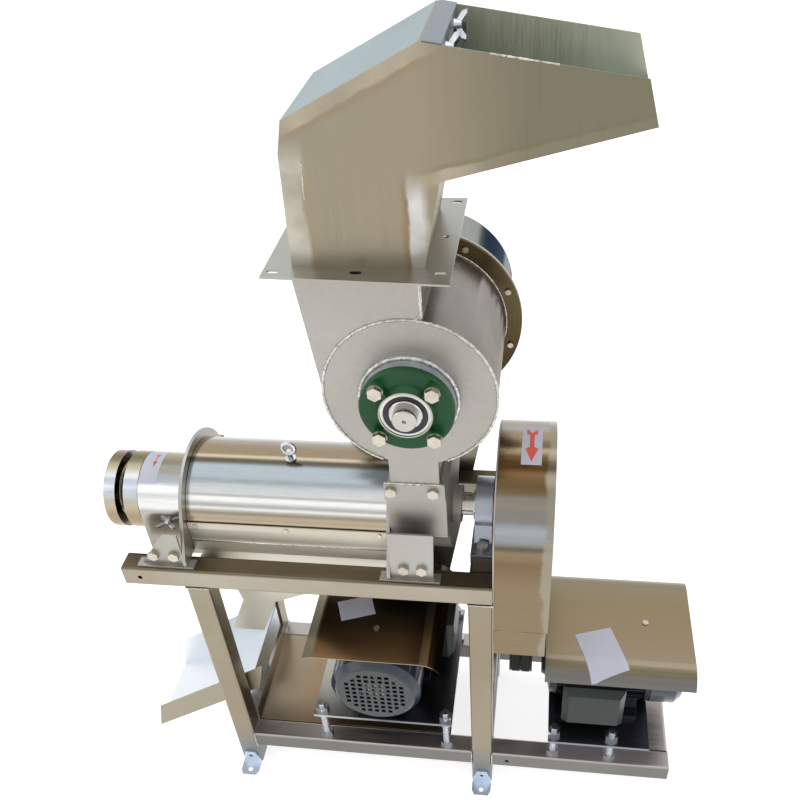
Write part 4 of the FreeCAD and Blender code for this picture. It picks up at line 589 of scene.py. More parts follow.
# %% Fading sheets
def fading_steel(name, axis, stops, roughness, cloud=0.25, stretch=ALONG_X, bends=None):
    """Sheet whose colour fades along axis 0, 1 or 2; stops are (metres, colour).

    bends are the places on X where a hood's left skirt ends and its right one begins; the left skirt gets a painted
    highlight, the right one painted shade.
    """
    material, tree, shader = new_finish(name, 1.0, roughness)
    start, end = stops[0][0], stops[-1][0]
    place = place_xyz(tree)[axis]
    drift = calc(tree, "MULTIPLY", calc(tree, "SUBTRACT", object_noise(tree, 7.0), 0.5), (end - start) * cloud)
    fac = value_range(tree, calc(tree, "ADD", place, drift), 0.0, 1.0, start, end)
    colour = colour_ramp(tree, fac, [((where - start) / (end - start), shade) for where, shade in stops])
    # Painted highlight on the left skirt, painted shade on the right skirt.
    if bends:
        across = place_xyz(tree)[0]
        colour = blend_colours(tree, value_range(tree, across, 1.0, 0.0, bends[0] - 0.004, bends[0] + 0.004),
            colour, (0.42, 0.385, 0.31))
        colour = blend_colours(tree, value_range(tree, across, 0.0, 1.0, bends[1] - 0.004, bends[1] + 0.004),
            colour, (0.05, 0.04, 0.03))
    marks = object_noise(tree, 620.0, stretch, detail=2.0)
    streak = colour_ramp(tree, marks, [(0.3, (0.85, 0.85, 0.85)), (0.7, (1.0, 1.0, 1.0))])
    return surfaced(material, blend_colours(tree, 0.06, colour, streak, "MULTIPLY"),
        value_range(tree, marks, roughness, roughness + 0.02),
                    marks, 0.01, 0.0001)


# Painted reflection and shade along the hood; the darker front below the bend is painted shade.
screw_hood_steel = fading_steel("screw_hood_steel", 1, [
    (-0.130, (0.165, 0.16, 0.15)), (-0.118, (0.18, 0.17, 0.155)), (-0.110, (0.15, 0.13, 0.08)),
    (-0.101, (0.16, 0.135, 0.085)), (-0.096, (0.28, 0.235, 0.165)),
    (-0.06, (0.285, 0.22, 0.14)), (0.04, (0.27, 0.21, 0.125)), (0.10, (0.28, 0.235, 0.165)),
    (0.13, (0.29, 0.27, 0.22))], 0.32, 0.04)
# Orange-brown front fading to near black at the back: painted reflection.
crusher_hood_steel = fading_steel("crusher_hood_steel", 1, [
    (-0.150, (0.50, 0.35, 0.22)), (-0.138, (0.40, 0.25, 0.135)), (-0.11, (0.27, 0.165, 0.08)),
    (-0.07, (0.12, 0.08, 0.045)),
    (-0.02, (0.05, 0.042, 0.032)), (0.06, (0.04, 0.034, 0.028)),
    (0.10, (0.12, 0.10, 0.075))], 0.24, 0.03, bends=(-0.066, 0.156))
deck_steel = fading_steel("deck_steel", 0, [
    (-0.222, (0.36, 0.30, 0.22)), (-0.12, (0.32, 0.235, 0.15)), (0.0, (0.30, 0.21, 0.13)),
    (0.178, (0.28, 0.22, 0.16))], 0.30, 0.3)
# Light on the left and dark on the right: painted reflection.
motor_plate_steel = fading_steel("motor_plate_steel", 0, [
    (-0.088, (0.46, 0.46, 0.43)), (-0.02, (0.40, 0.40, 0.38)), (0.05, (0.13, 0.13, 0.135)),
    (0.12, (0.24, 0.235, 0.27)),
    (0.45, (0.24, 0.235, 0.27)), (0.56, (0.25, 0.25, 0.27))], 0.24, 0.06)
tray_steel = fading_steel("tray_steel", 1, [
    (-0.1062, (0.33, 0.295, 0.215)), (-0.1040, (0.36, 0.325, 0.25)), (-0.1030, (0.70, 0.74, 0.78)),
    (0.055, (0.78, 0.82, 0.86))],
    0.40, 0.0)
# The pale bands are painted light; the dip at 0.622 is a painted shadow line.
trough_steel = fading_steel("trough_steel", 2, [
    (0.545, (0.66, 0.63, 0.54)), (0.590, (0.92, 0.89, 0.79)), (0.608, (0.92, 0.89, 0.79)),
    (0.612, (0.90, 0.87, 0.78)),
    (0.618, (0.90, 0.87, 0.78)), (0.622, (0.60, 0.57, 0.49)), (0.640, (0.74, 0.70, 0.61)),
    (0.655, (0.68, 0.63, 0.53))],
    0.50, 0.0)
# Darker towards the bottom: painted shade.
feed_steel = fading_steel("feed_steel", 2, [
    (0.56, (0.30, 0.28, 0.23)), (0.65, (0.36, 0.34, 0.29)), (0.668, (0.40, 0.375, 0.335)),
    (0.735, (0.41, 0.39, 0.36)),
    (0.77, (0.40, 0.38, 0.355))], 0.50, 0.1, ALONG_Z)
dark_rim(crusher_hood_steel, (0.30, 0.26, 0.22))
print("fading finishes", 7)

# %% [markdown]
# Castings and motors are painted. Paint on a sand casting keeps its pebbled skin, so
# the bump is round and coarse, and a thin clear coat gives the gloss. Where a casting
# was machined after painting, such as the bearing hub's face, bare metal shows.

# %% Paint
def painted(name, colour, roughness, pebble, coat=0.0, metallic=0.0):
    """Paint over a cast or pressed skin; returns the material, its tree, shader and colour."""
    material, tree, shader = new_finish(name, metallic, roughness)
    skin = object_noise(tree, 260.0, detail=2.0)
    drift = object_noise(tree, 9.0, detail=3.0)
    dark = tuple(c * 0.66 for c in colour)
    tone = colour_ramp(tree, drift, [(0.3, dark), (0.7, colour)])
    surfaced(material, tone, value_range(tree, drift, roughness - 0.05, roughness + 0.08), skin, pebble, 0.0006)
    shader.inputs["Specular IOR Level"].default_value = 0.22
    shader.inputs["Coat Weight"].default_value = coat
    shader.inputs["Coat Roughness"].default_value = 0.12
    return material, tree, shader, tone


def housing_finish():
    """Green bearing housing with its machined hub face."""
    material, tree, shader, tone = painted("green_paint", (0.014, 0.108, 0.034), 0.34, 0.22, 0.12)
    _, y, _ = place_xyz(tree)
    bare = calc(tree, "GREATER_THAN", calc(tree, "ABSOLUTE", y), 0.1503)
    tree.links.new(blend_colours(tree, bare, tone, (0.42, 0.40, 0.34)), shader.inputs["Base Color"])
    tree.links.new(calc(tree, "MULTIPLY", bare, 0.85), shader.inputs["Metallic"])
    return material


def fan_cover_finish():
    """Pressed cover whose pierced end is grey-green; the barrel's darker blue is painted shade."""
    material, tree, shader, tone = painted("fan_cover_paint", (0.05, 0.068, 0.105), 0.20, 0.03, 0.5)
    x, y, _ = place_xyz(tree)
    # The barrel keeps the darker blue tone, painted shade; the end gets grey-green.
    end = calc(tree, "ADD", calc(tree, "LESS_THAN", y, -0.1475), calc(tree, "GREATER_THAN", x, 0.6150), clamp=True)
    tree.links.new(blend_colours(tree, end, tone, (0.046, 0.058, 0.06)), shader.inputs["Base Color"])
    return material


def bearing_finish():
    """Ground rings with the black seal let into the outer one."""
    material, tree, shader = new_finish("bearing_steel_and_seal", 1.0, 0.22)
    x, y, z = place_xyz(tree)
    flat, level = calc(tree, "SUBTRACT", x, CRUSHER_AXIS[0]), calc(tree, "SUBTRACT", z, CRUSHER_AXIS[1])
    reach = calc(tree, "SQRT", calc(tree, "ADD", calc(tree, "POWER", flat, 2.0), calc(tree, "POWER", level, 2.0)))
    seal = calc(tree, "LESS_THAN", reach, 0.0318)
    ring = calc(tree, "MULTIPLY", calc(tree, "SINE", calc(tree, "MULTIPLY", reach, 6000.0)), 0.5)
    steel = colour_ramp(tree, object_noise(tree, 30.0), [(0.3, (0.50, 0.49, 0.46)), (0.7, (0.62, 0.62, 0.60))])
    tree.links.new(calc(tree, "SUBTRACT", 1.0, seal), shader.inputs["Metallic"])
    return surfaced(material, blend_colours(tree, seal, steel, (0.022, 0.020, 0.024)),
                    value_range(tree, seal, 0.22, 0.38, 0.0, 1.0), ring, 0.15, 0.0002)


green_paint, fan_cover_paint, bearing_skin = housing_finish(), fan_cover_finish(), bearing_finish()
pillow_paint = painted("pillow_paint", (0.44, 0.47, 0.54), 0.28, 0.45, 0.0, 0.95)[0]
motor_navy = painted("motor_navy", (0.014, 0.018, 0.026), 0.34, 0.08, 0.15)[0]
terminal_body_paint = painted("terminal_body_paint", (0.034, 0.050, 0.042), 0.34, 0.06, 0.15)[0]
pulley_paint = painted("pulley_paint", (0.06, 0.06, 0.065), 0.42, 0.20)[0]
belt_rubber = painted("belt_rubber", (0.012, 0.012, 0.012), 0.62, 0.30)[0]
flap_rubber = painted("flap_rubber", (0.10, 0.11, 0.095), 0.55, 0.10)[0]
print("paints", 8)

# %% [markdown]
# Fasteners and foot plates are plated. Zinc is bluish and cloudy, nickel on the bolt
# heads is warmer, and weld metal is bright with a trace of straw where it cooled.

# %% Plate and weld metal
def plated(name, bright, stained, roughness, scale=22.0):
    """Zinc or nickel plate with cloudy patches."""
    material, tree, shader = new_finish(name, 1.0, roughness)
    clouds = object_noise(tree, scale, detail=5.0)
    return surfaced(material, colour_ramp(tree, clouds, [(0.3, stained), (0.7, bright)]),
        value_range(tree, clouds, roughness + 0.1, roughness),
                    object_noise(tree, 150.0), 0.04, 0.0002)


zinc_plate = plated("zinc_plate", (0.72, 0.80, 0.90), (0.58, 0.66, 0.75), 0.32)
bolt_plate = plated("bolt_plate", (0.64, 0.58, 0.50), (0.46, 0.41, 0.34), 0.24, 60.0)
bright_zinc = plated("bright_zinc", (0.66, 0.69, 0.73), (0.44, 0.46, 0.50), 0.22, 60.0)
weld_metal = plated("weld_metal", (0.72, 0.71, 0.68), (0.36, 0.33, 0.28), 0.26, 150.0)
print("plated finishes", 4)

# %% [markdown]
# A solid from the model has knife edges, and real sheet and castings don't. Each
# node in the table below gets a dressed copy: loose triangles are merged, flat faces
# are joined up, and a small bevel catches the light along every edge.

# %% Dress the nodes
MERGE = 0.00002
SMOOTH_ANGLE = math.radians(28.0)


def dressed(node, material, edge=0.0006):
    """Copy of a node with small round edges; it stands for the node and rides its body."""
    source = nodes[node]
    mesh = source.data.copy()
    work = bmesh.new()
    work.from_mesh(mesh)
    bmesh.ops.remove_doubles(work, verts=work.verts, dist=MERGE)
    bmesh.ops.dissolve_limit(work, angle_limit=math.radians(1.0), verts=work.verts, edges=work.edges)
    work.to_mesh(mesh)
    work.free()
    mesh.polygons.foreach_set("use_smooth", [True] * len(mesh.polygons))
    mesh.set_sharp_from_angle(angle=SMOOTH_ANGLE)
    mesh.materials.clear()
    mesh.materials.append(material)
    piece = bpy.data.objects.new(node + "_dressed", mesh)
    bpy.context.scene.collection.objects.link(piece)
    bevel = piece.modifiers.new("edge", "BEVEL")
    bevel.width = edge
    bevel.segments = 2
    bevel.limit_method = "ANGLE"
    bevel.angle_limit = SMOOTH_ANGLE
    bevel.harden_normals = True
    depsgraph = bpy.context.evaluated_depsgraph_get()
    finished = bpy.data.meshes.new_from_object(piece.evaluated_get(depsgraph))
    piece.modifiers.clear()
    piece.data = finished
    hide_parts(node)
    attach(piece, source["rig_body"])
    return piece


DRESS = {
    "hopper_body": (hopper_steel, 0.0006),
    "hopper_flange": (flange_sheet_steel, 0.0005),
    "hopper_crossbar": (crossbar_steel, 0.0004),
    "crusher_front_plate": (disc_steel, 0.0008),
    "crusher_shell": (shell_steel, 0.0006),
    "crusher_rear_cover": (plate_steel, 0.0006),
    "feed_box": (feed_steel, 0.0008),
    "lower_deck": (deck_steel, 0.0005),
    "foot_plates": (zinc_plate, 0.0006),
    "press_end_plates": (plate_steel, 0.0008),
    "press_feet": (plate_steel, 0.0006),
    "press_gussets": (plate_steel, 0.0006),
    "press_cover": (cover_steel, 0.0004),
    "discharge_hood": (outlet_steel, 0.0005),
    "outlet_sleeve": (ring_steel, 0.0008),
    "pressure_cone": (ring_steel, 0.0008),
    "juice_trough": (trough_steel, 0.0004),
    "juice_tray": (tray_steel, 0.0004),
    "screw_guard": (belt_guard_steel, 0.0008),
    "guard_back_plate": (back_sheet_steel, 0.0006),
    "rear_guard_shell": (drum_guard_steel, 0.0010),
    "rear_guard_plate": (back_sheet_steel, 0.0005),
    "motor_plates": (motor_plate_steel, 0.0008),
    "motor_feet": (motor_navy, 0.0010),
    "pillow_block": (pillow_paint, 0.0020),
    "crusher_bearing_housings": (green_paint, 0.0015),
    "terminal_boxes": (terminal_body_paint, 0.0020),
    "crusher_bolts": (bolt_plate, 0.0006),
    "press_bolts": (bolt_plate, 0.0005),
    "wing_fasteners": (bright_zinc, 0.0006),
    "adjusting_nut": (bolt_plate, 0.0008),
}
for node, (material, edge) in DRESS.items():
    dressed(node, material, edge)
print("dressed", len(DRESS))

# %% [markdown]
# The other nodes keep their own mesh. Round things already have their shape, and
# tube has its corner radius, so they only need a finish.

# %% Finish the other nodes
PLAIN = {
    "top_rails": frame_steel, "legs": leg_steel, "lower_rails": lower_rail_steel,
    "screw_motor_hood": screw_hood_steel, "crusher_motor_hood": crusher_hood_steel,
    "crusher_screen": plate_steel, "bearing_outer_rings": bearing_skin, "crusher_inner_rings": ground_steel,
    "crusher_shaft": shaft_steel, "crusher_rotor_drum": plate_steel, "crusher_knives": plate_steel,
    "crusher_pulley": pulley_paint, "crusher_motor_pulley": pulley_paint, "screw_pulley": pulley_paint,
    "screw_motor_pulley": pulley_paint, "press_screen": plate_steel, "press_screw": shaft_steel,
    "screw_inner_ring": ground_steel, "splash_flap": flap_rubber, "cover_knob": bright_zinc,
    "screw_belts": belt_rubber, "crusher_belts": belt_rubber, "plate_rods": bright_zinc,
    "hood_posts": bolt_plate, "screw_motor_body": motor_navy, "crusher_motor_body": motor_navy,
    "motor_fan_covers": fan_cover_paint, "screw_motor_rotor": shaft_steel, "crusher_motor_rotor": shaft_steel,
}
for node, material in PLAIN.items():
    mesh = nodes[node].data
    mesh.materials.clear()
    mesh.materials.append(material)
    mesh.polygons.foreach_set("use_smooth", [True] * len(mesh.polygons))
    mesh.set_sharp_from_angle(angle=SMOOTH_ANGLE)
print("plain", len(PLAIN), "left", sorted(set(nodes) - set(DRESS) - set(PLAIN)))

# %% [markdown]
# A weld is a row of small overlapping puddles. The path is a curve along the seam;
# Geometry Nodes cuts it into steps of one puddle, makes every other step a little
# thinner, adds some chance, and sweeps a round section along it. Half of the bead is
# sunk in the seam, so only its crown shows.

# %% Weld bead tree
def bead_tree():
    """Geometry Nodes tree that turns a path into a rippled weld bead."""
    tree = bpy.data.node_groups.new("weld_bead", "GeometryNodeTree")
    face = tree.interface
    face.new_socket("Path", in_out="INPUT", socket_type="NodeSocketGeometry")
    for label, start in (("Bead Radius", 0.002), ("Ripple Pitch", 0.0016)):
        face.new_socket(label, in_out="INPUT", socket_type="NodeSocketFloat").default_value = start
    face.new_socket("Metal", in_out="INPUT", socket_type="NodeSocketMaterial")
    face.new_socket("Bead", in_out="OUTPUT", socket_type="NodeSocketGeometry")
    new, link = tree.nodes.new, tree.links.new
    entry, leave = new("NodeGroupInput"), new("NodeGroupOutput")
    steps = new("GeometryNodeResampleCurve")
    steps.mode = "LENGTH"
    index = new("GeometryNodeInputIndex")
    parity = new("ShaderNodeMath")
    parity.operation = "MODULO"
    parity.inputs[1].default_value = 2.0
    chance = new("FunctionNodeRandomValue")
    chance.inputs[2].default_value = 0.52
    chance.inputs[3].default_value = 0.98
    chance.inputs["Seed"].default_value = 7
    swell = new("ShaderNodeMath")
    swell.operation = "MULTIPLY_ADD"
    swell.inputs[1].default_value = 0.26
    radius = new("GeometryNodeSetCurveRadius")
    section = new("GeometryNodeCurvePrimitiveCircle")
    section.inputs["Resolution"].default_value = 7
    sweep = new("GeometryNodeCurveToMesh")
    sweep.inputs["Fill Caps"].default_value = True
    smooth = new("GeometryNodeSetShadeSmooth")
    real = new("GeometryNodeRealizeInstances")
    metal = new("GeometryNodeSetMaterial")
    link(entry.outputs["Path"], steps.inputs["Curve"])
    link(entry.outputs["Ripple Pitch"], steps.inputs["Length"])
    link(index.outputs[0], parity.inputs[0])
    link(parity.outputs[0], swell.inputs[0])
    link(chance.outputs[1], swell.inputs[2])
    link(steps.outputs["Curve"], radius.inputs["Curve"])
    link(swell.outputs[0], radius.inputs["Radius"])
    link(entry.outputs["Bead Radius"], section.inputs["Radius"])
    link(radius.outputs["Curve"], sweep.inputs["Curve"])
    link(section.outputs["Curve"], sweep.inputs["Profile Curve"])
    scale = sweep.inputs.get("Scale")
    if scale is not None:
        link(swell.outputs[0], scale)
    link(sweep.outputs["Mesh"], smooth.inputs[0])
    link(smooth.outputs[0], real.inputs[0])
    link(real.outputs[0], metal.inputs["Geometry"])
    link(entry.outputs["Metal"], metal.inputs["Material"])
    link(metal.outputs["Geometry"], leave.inputs["Bead"])
    return tree


BEAD_TREE = bead_tree()
print("weld tree nodes", len(BEAD_TREE.nodes))

# %% [markdown]
# One helper runs any tree on an object and hands back a plain mesh. A modifier's
# input is named by its socket's identifier, so the helper looks that up first.

# %% Run a tree
def grown(name, host, tree, values, body):
    """Applies tree to host with the named values; the result is a mesh on that body."""
    modifier = host.modifiers.new("grow", "NODES")
    modifier.node_group = tree
    sockets = {item.name: item.identifier for item in tree.interface.items_tree
               if item.item_type == "SOCKET" and item.in_out == "INPUT"}
    for label, value in values.items():
        modifier[sockets[label]] = value
    depsgraph = bpy.context.evaluated_depsgraph_get()
    mesh = bpy.data.meshes.new_from_object(host.evaluated_get(depsgraph))
    mesh.name = name
    bpy.data.objects.remove(host)
    piece = bpy.data.objects.new(name, mesh)
    bpy.context.scene.collection.objects.link(piece)
    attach(piece, body)
    print(name, "triangles", sum(len(p.vertices) - 2 for p in mesh.polygons))
    return piece


def seam_paths(name, paths):
    """Curve object with one poly spline for each path; a closed path is (points, True)."""
    curve = bpy.data.curves.new(name, "CURVE")
    curve.dimensions = "3D"
    for points, closed in paths:
        spline = curve.splines.new("POLY")
        spline.points.add(len(points) - 1)
        for target, point in zip(spline.points, points):
            target.co = (*point, 1.0)
        spline.use_cyclic_u = closed
    host = bpy.data.objects.new(name, curve)
    bpy.context.scene.collection.objects.link(host)
    return host


def weld(name, paths, bead=0.002, ripple=0.0016, body="frame"):
    """Weld beads of one size along several seams."""
    host = seam_paths(name + "_path", paths)
    values = {"Bead Radius": bead, "Ripple Pitch": ripple, "Metal": weld_metal}
    return grown(name, host, BEAD_TREE, values, body)


def ring_y(x, y, z, radius, count=96, start=0.0, end=360.0):
    """Points of a circle, or part of one, in a plane across Y."""
    closed = abs(end - start) >= 360.0
    steps = count if closed else count + 1
    angles = [math.radians(start + (end - start) * i / count) for i in range(steps)]
    return [(x + radius * math.cos(a), y, z + radius * math.sin(a)) for a in angles], closed


# %% [markdown]
# The crusher's front disc is let into the barrel with one bright bead all round, which
# stops where the outlet neck leaves. The bearing boss sits in a heavier, rougher bead,
# the neck's corner has two beads side by side, and the rear ring has a light one.

# %% Crusher welds
CRUSHER_X, CRUSHER_Z, CRUSHER_R = 0.144, 0.934, 0.124
FRONT_Y = -0.106
weld("crusher_disc_weld", [ring_y(CRUSHER_X, FRONT_Y - 0.0002, CRUSHER_Z, CRUSHER_R + 0.0002, 128, -66.0, 248.0)],
     0.0024, 0.0023)
weld("crusher_boss_weld", [ring_y(CRUSHER_X, -0.1134, CRUSHER_Z, 0.0700, 96)], 0.0036, 0.0034)
weld("rear_ring_weld", [ring_y(CRUSHER_X, 0.0996, CRUSHER_Z, CRUSHER_R + 0.001, 96, -60.0, 80.0)], 0.0013, 0.0030)
NECK_X = CRUSHER_X + 0.023
weld("neck_corner_weld", [
    ([(NECK_X - 0.0015, FRONT_Y - 0.0004, 1.117), (NECK_X - 0.001, FRONT_Y - 0.0004, 1.085),
    (NECK_X, FRONT_Y - 0.0004, 1.062)], False),
    ([(NECK_X, FRONT_Y + 0.004, 1.117), (NECK_X, FRONT_Y + 0.004, 1.060)], False),
    ([(NECK_X - 0.001, FRONT_Y - 0.0004, 1.066), (NECK_X - 0.008, FRONT_Y - 0.0004, 1.0585),
    (NECK_X - 0.018, FRONT_Y - 0.0004, 1.0568)],
     False)], 0.0017, 0.0022)

# %% [markdown]
# The feed box has one dotted bead over its bolted strip and a thin one across its
# front. The hopper's front sheet was tacked near its edges, where the torch left rows
# of small scales. The frame is welded round every tube end.

# %% Feed box, hopper and frame welds
def tube_end_x(x, y, z, half=0.0203):
    """Square path round a tube end in a plane across X."""
    return [(x, y - half, z - half), (x, y + half, z - half), (x, y + half, z + half), (x, y - half, z + half)], True


def tube_end_z(x, y, z, half=0.0203):
    """The same in a plane across Z."""
    return [(x - half, y - half, z), (x + half, y - half, z), (x + half, y + half, z), (x - half, y + half, z)], True


weld("feed_strip_weld", [([(0.094, -0.1066, 0.7705), (0.187, -0.1066, 0.7705)], False)], 0.0022, 0.0055)
weld("feed_front_weld", [([(0.097, -0.1060, 0.660), (0.188, -0.1060, 0.660)], False)], 0.0009, 0.0030)
weld("hopper_tacks", [([(0.0288, -0.0820, 1.258), (0.0262, -0.0820, 1.222), (0.0262, -0.0820, 1.212)], False),
                      ([(0.255, -0.0812, 1.3755), (0.330, -0.0812, 1.3631)], False)], 0.0012, 0.0030)
LEG_X, LEG_Y, LOWER_Z = 0.243, 0.130, 0.082
leg_tops = [tube_end_z(sx * LEG_X, sy * LEG_Y, 0.5468) for sx in (-1, 1) for sy in (-1, 1)]
rail_ends = [tube_end_x(sx * (LEG_X - 0.0202), sy * LEG_Y, LOWER_Z) for sx in (-1, 1) for sy in (-1, 1)]
rail_ends += [tube_end_x(LEG_X + 0.0202, sy * LEG_Y, LOWER_Z) for sy in (-1, 1)]
weld("leg_top_welds", leg_tops, 0.0016, 0.0024)
weld("lower_rail_welds", rail_ends, 0.0016, 0.0024)

# %% [markdown]
# A swaged crease stiffens each side of the trough. It is a half-round rib, so a plain
# round section swept along a straight line and sunk halfway does the job. The bearing
# castings have four shallow lightening pockets in the solid, which the real flange
# has filled flush, so a disc in the same paint closes each.

# %% Trough crease and flange faces
def round_bar(name, start, end, radius, material, body, sides=20):
    """Closed round bar from start to end."""
    start, end = Vector(start), Vector(end)
    work = bmesh.new()
    bmesh.ops.create_cone(work, cap_ends=True, segments=sides, radius1=radius, radius2=radius,
        depth=(end - start).length)
    turn = (end - start).to_track_quat("Z", "Y").to_matrix().to_4x4()
    bmesh.ops.transform(work, matrix=Matrix.Translation((start + end) / 2) @ turn, verts=work.verts)
    for face in work.faces:
        face.smooth = len(face.verts) == 4
    mesh = bpy.data.meshes.new(name)
    work.to_mesh(mesh)
    work.free()
    mesh.materials.append(material)
    piece = bpy.data.objects.new(name, mesh)
    bpy.context.scene.collection.objects.link(piece)
    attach(piece, body)
    return piece


for side in (-1, 1):
    round_bar("trough_crease_" + ("front" if side < 0 else "back"), (-0.2520, side * 0.0993, 0.614),
        (0.0890, side * 0.0993, 0.614),
              0.0016, weld_metal, "frame", 12)
POCKET_REACH = 0.054
for end, (inner, outer) in {"front": (-0.1360, -0.14015), "back": (0.1340, 0.13815)}.items():
    for quarter in range(4):
        angle = math.radians(90.0 * quarter)
        x, z = CRUSHER_X + POCKET_REACH * math.cos(angle), CRUSHER_Z + POCKET_REACH * math.sin(angle)
        fill = round_bar(end + "_flange_fill_" + str(quarter), (x, inner, z), (x, outer, z),
            0.0099, green_paint, "frame", 32)

# %% [markdown]
# The motor plates hang on threaded rod. A thread is one groove that winds up the rod,
# and the eye only needs its crest: a spiral curve swept with a small section, made
# once and set on every rod by Geometry Nodes.

# %% Rod threads
def thread_tree():
    """Geometry Nodes tree that sets one spiral crest on each point of the host."""
    tree = bpy.data.node_groups.new("rod_thread", "GeometryNodeTree")
    face = tree.interface
    face.new_socket("Places", in_out="INPUT", socket_type="NodeSocketGeometry")
    for label, start in (("Rod Radius", 0.007), ("Thread Length", 0.1), ("Turns", 50.0), ("Crest", 0.0005)):
        face.new_socket(label, in_out="INPUT", socket_type="NodeSocketFloat").default_value = start
    face.new_socket("Metal", in_out="INPUT", socket_type="NodeSocketMaterial")
    face.new_socket("Thread", in_out="OUTPUT", socket_type="NodeSocketGeometry")
    new, link = tree.nodes.new, tree.links.new
    entry, leave = new("NodeGroupInput"), new("NodeGroupOutput")
    spiral = new("GeometryNodeCurveSpiral")
    spiral.inputs["Resolution"].default_value = 12
    section = new("GeometryNodeCurvePrimitiveCircle")
    section.inputs["Resolution"].default_value = 4
    sweep = new("GeometryNodeCurveToMesh")
    put = new("GeometryNodeInstanceOnPoints")
    real = new("GeometryNodeRealizeInstances")
    metal = new("GeometryNodeSetMaterial")
    link(entry.outputs["Turns"], spiral.inputs["Rotations"])
    link(entry.outputs["Rod Radius"], spiral.inputs["Start Radius"])
    link(entry.outputs["Rod Radius"], spiral.inputs["End Radius"])
    link(entry.outputs["Thread Length"], spiral.inputs["Height"])
    link(entry.outputs["Crest"], section.inputs["Radius"])
    link(spiral.outputs["Curve"], sweep.inputs["Curve"])
    link(section.outputs["Curve"], sweep.inputs["Profile Curve"])
    link(entry.outputs["Places"], put.inputs["Points"])
    link(sweep.outputs["Mesh"], put.inputs["Instance"])
    link(put.outputs["Instances"], real.inputs[0])
    link(real.outputs[0], metal.inputs["Geometry"])
    link(entry.outputs["Metal"], metal.inputs["Material"])
    link(metal.outputs["Geometry"], leave.inputs["Thread"])
    return tree


def points_host(name, points):
    """Mesh of loose points for a tree to set things on."""
    mesh = bpy.data.meshes.new(name)
    mesh.from_pydata(points, [], [])
    host = bpy.data.objects.new(name, mesh)
    bpy.context.scene.collection.objects.link(host)
    return host


THREAD_TREE = thread_tree()
ROD_X = {"screw": (0.3815, 0.4905), "crusher": (-0.073, 0.172)}
for motor, low, high in (("screw", 0.103, 0.151), ("crusher", 0.103, 0.171)):
    places = [(x, sy * 0.130, low) for x in ROD_X[motor] for sy in (-1, 1)]
    values = {"Rod Radius": 0.0070, "Thread Length": high - low, "Turns": (high - low) / 0.0020, "Crest": 0.0005,
              "Metal": bright_zinc}
    grown(motor + "_rod_threads", points_host("rod_places", places), THREAD_TREE, values, "frame")

# %% [markdown]
# Labels are thin printed film that follows the sheet under it. Each one is a small
# grid: its middle and its two directions are given flat, and every point is then
# dropped on the surface below. They carry no words. Two of them show a plain arrow
# for the turning direction, drawn as a second, finer grid of red film.

# %% Labels
from mathutils.bvhtree import BVHTree

FILM = 0.0002


def film(name, colour):
    """Glossy label film with a faint print mottle."""
    material, tree, shader = new_finish(name, 0.0, 0.35)
    pale = tuple(min(1.0, c * 1.05) for c in colour)
    tree.links.new(colour_ramp(tree, object_noise(tree, 60.0), [(0.3, colour), (0.7, pale)]),
        shader.inputs["Base Color"])
    tree.links.new(value_range(tree, object_noise(tree, 200.0), 0.30, 0.42), shader.inputs["Roughness"])
    return material


label_film = film("label_film", (0.62, 0.62, 0.72))
red_film = film("red_film", (0.78, 0.09, 0.04))


def surface_of(node):
    """Search tree of a node's own surface."""
    mesh = nodes[node].data
    return BVHTree.FromPolygons([v.co.copy() for v in mesh.vertices], [tuple(p.vertices) for p in mesh.polygons])


def film_patch(name, outline_cells, onto, material, body):
    """Thin film from cells of flat (u, v) corners; onto(u, v, lift) gives the place in space."""
    work = bmesh.new()
    for corners in outline_cells:
        top = [work.verts.new(onto(u, v, FILM)) for u, v in corners]
        low = [work.verts.new(onto(u, v, -FILM)) for u, v in corners]
        work.faces.new(top)
        work.faces.new(low[::-1])
        for i in range(len(corners)):
            j = (i + 1) % len(corners)
            work.faces.new((top[i], low[i], low[j], top[j]))
    bmesh.ops.recalc_face_normals(work, faces=work.faces)
    mesh = bpy.data.meshes.new(name)
    work.to_mesh(mesh)
    work.free()
    mesh.materials.append(material)
    piece = bpy.data.objects.new(name, mesh)
    bpy.context.scene.collection.objects.link(piece)
    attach(piece, body)
    return piece


def grid_cells(width, height, across, down):
    """Cells of a rectangle about the middle."""
    us = [width * (i / across - 0.5) for i in range(across + 1)]
    vs = [height * (j / down - 0.5) for j in range(down + 1)]
    return [[(us[i], vs[j]), (us[i + 1], vs[j]), (us[i + 1], vs[j + 1]), (us[i], vs[j + 1])]
            for i in range(across) for j in range(down)]


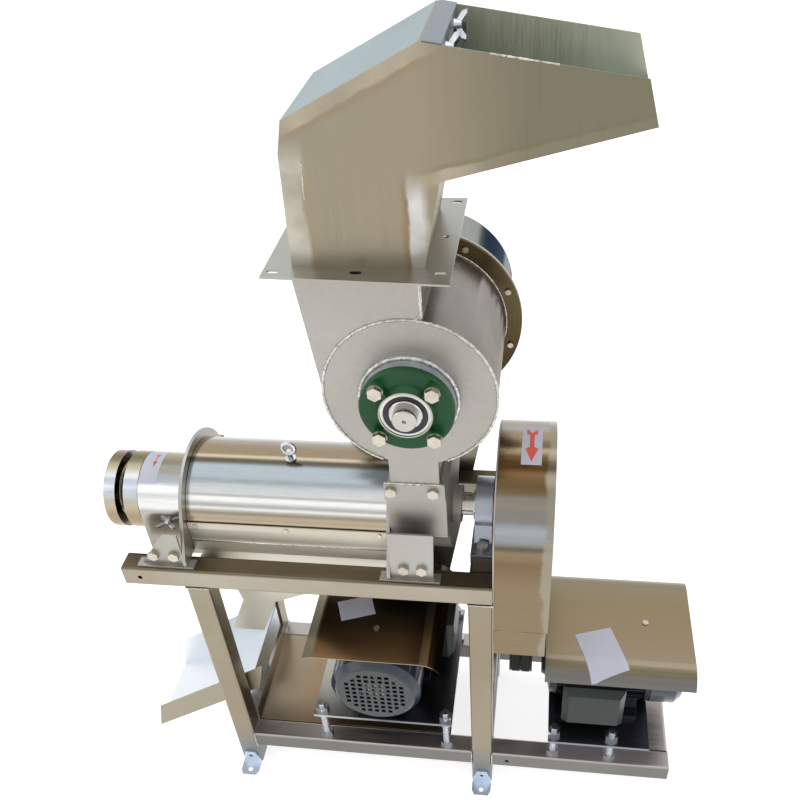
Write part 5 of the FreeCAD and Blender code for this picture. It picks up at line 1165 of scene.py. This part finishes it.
def arrow_cells(length, width, shaft):
    """Arrow that points to +v, with a notched tail, as thin slices across v."""
    cells, slices = [], 18
    head, tail = length * 0.36, length * 0.22

    def half_width(v):
        if v > length / 2 - head:
            return width / 2 * (length / 2 - v) / head
        if v < -length / 2 + tail:
            return width * 0.40
        return shaft / 2

    for i in range(slices):
        v0, v1 = -length / 2 + length * i / slices, -length / 2 + length * (i + 1) / slices
        mid = (v0 + v1) / 2
        h0, h1 = max(half_width(v0 + 1e-6), 0.0002), max(half_width(v1 - 1e-6), 0.0001)
        notch = max(0.0, 1.0 - (mid + length / 2) / (tail * 0.7)) * width * 0.34
        if notch > 0.0004:
            cells.append([(-h0, v0), (-notch, v0), (-notch, v1), (-h1, v1)])
            cells.append([(notch, v0), (h0, v0), (h1, v1), (notch, v1)])
        else:
            cells.append([(-h0, v0), (h0, v0), (h1, v1), (-h1, v1)])
    return cells


def round_x(x_mid, degrees_mid, radius, lean=0.0):
    """Places on a drum about the screw's axis; +v runs down the front."""
    def onto(u, v, lift):
        turned_u = u * math.cos(lean) - v * math.sin(lean)
        turned_v = u * math.sin(lean) + v * math.cos(lean)
        angle = math.radians(degrees_mid) - turned_v / radius
        reach = radius + lift
        return Vector((x_mid + turned_u, -reach * math.cos(angle), SCREW_AXIS[1] + reach * math.sin(angle)))
    return onto


def dropped(node, middle, turn):
    """Places on the top of a node, straight below a flat pattern turned about middle."""
    tree, far, inset = surface_of(node), 2.0, 0.0008
    low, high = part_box(node)
    c, s = math.cos(turn), math.sin(turn)

    def onto(u, v, lift):
        x = min(max(middle[0] + u * c - v * s, low[0] + inset), high[0] - inset)
        y = min(max(middle[1] + u * s + v * c, low[1] + inset), high[1] - inset)
        hit = tree.ray_cast(Vector((x, y, far)), Vector((0.0, 0.0, -1.0)))
        normal = hit[1] if hit[1].z > 0 else -hit[1]
        return hit[0] + normal * (lift + 3.0 * FILM)
    return onto


guard_place = round_x(0.317, 86.0, 0.1462)
film_patch("guard_label", grid_cells(0.032, 0.086, 2, 20), guard_place, label_film, "frame")
film_patch("guard_arrow", arrow_cells(0.074, 0.022, 0.007), lambda u, v, d: guard_place(u, v, d + 2 * FILM),
    red_film, "frame")
hood_place = round_x(-0.334, 82.0, 0.0682)
film_patch("outlet_label", grid_cells(0.032, 0.076, 2, 20), hood_place, label_film, "frame")
film_patch("outlet_arrow", arrow_cells(0.034, 0.0075, 0.0014),
           lambda u, v, d: hood_place(u + 0.004, v - 0.010, d + 2 * FILM), red_film, "frame")
film_patch("screw_hood_label", grid_cells(0.070, 0.096, 8, 32), dropped("screw_motor_hood", (0.459, -0.073),
    math.radians(19.0)),
           label_film, "frame")
film_patch("crusher_hood_label", grid_cells(0.066, 0.048, 6, 4), dropped("crusher_motor_hood", (-0.004, -0.028),
    math.radians(20.0)),
           label_film, "frame")
print("labels", 4)
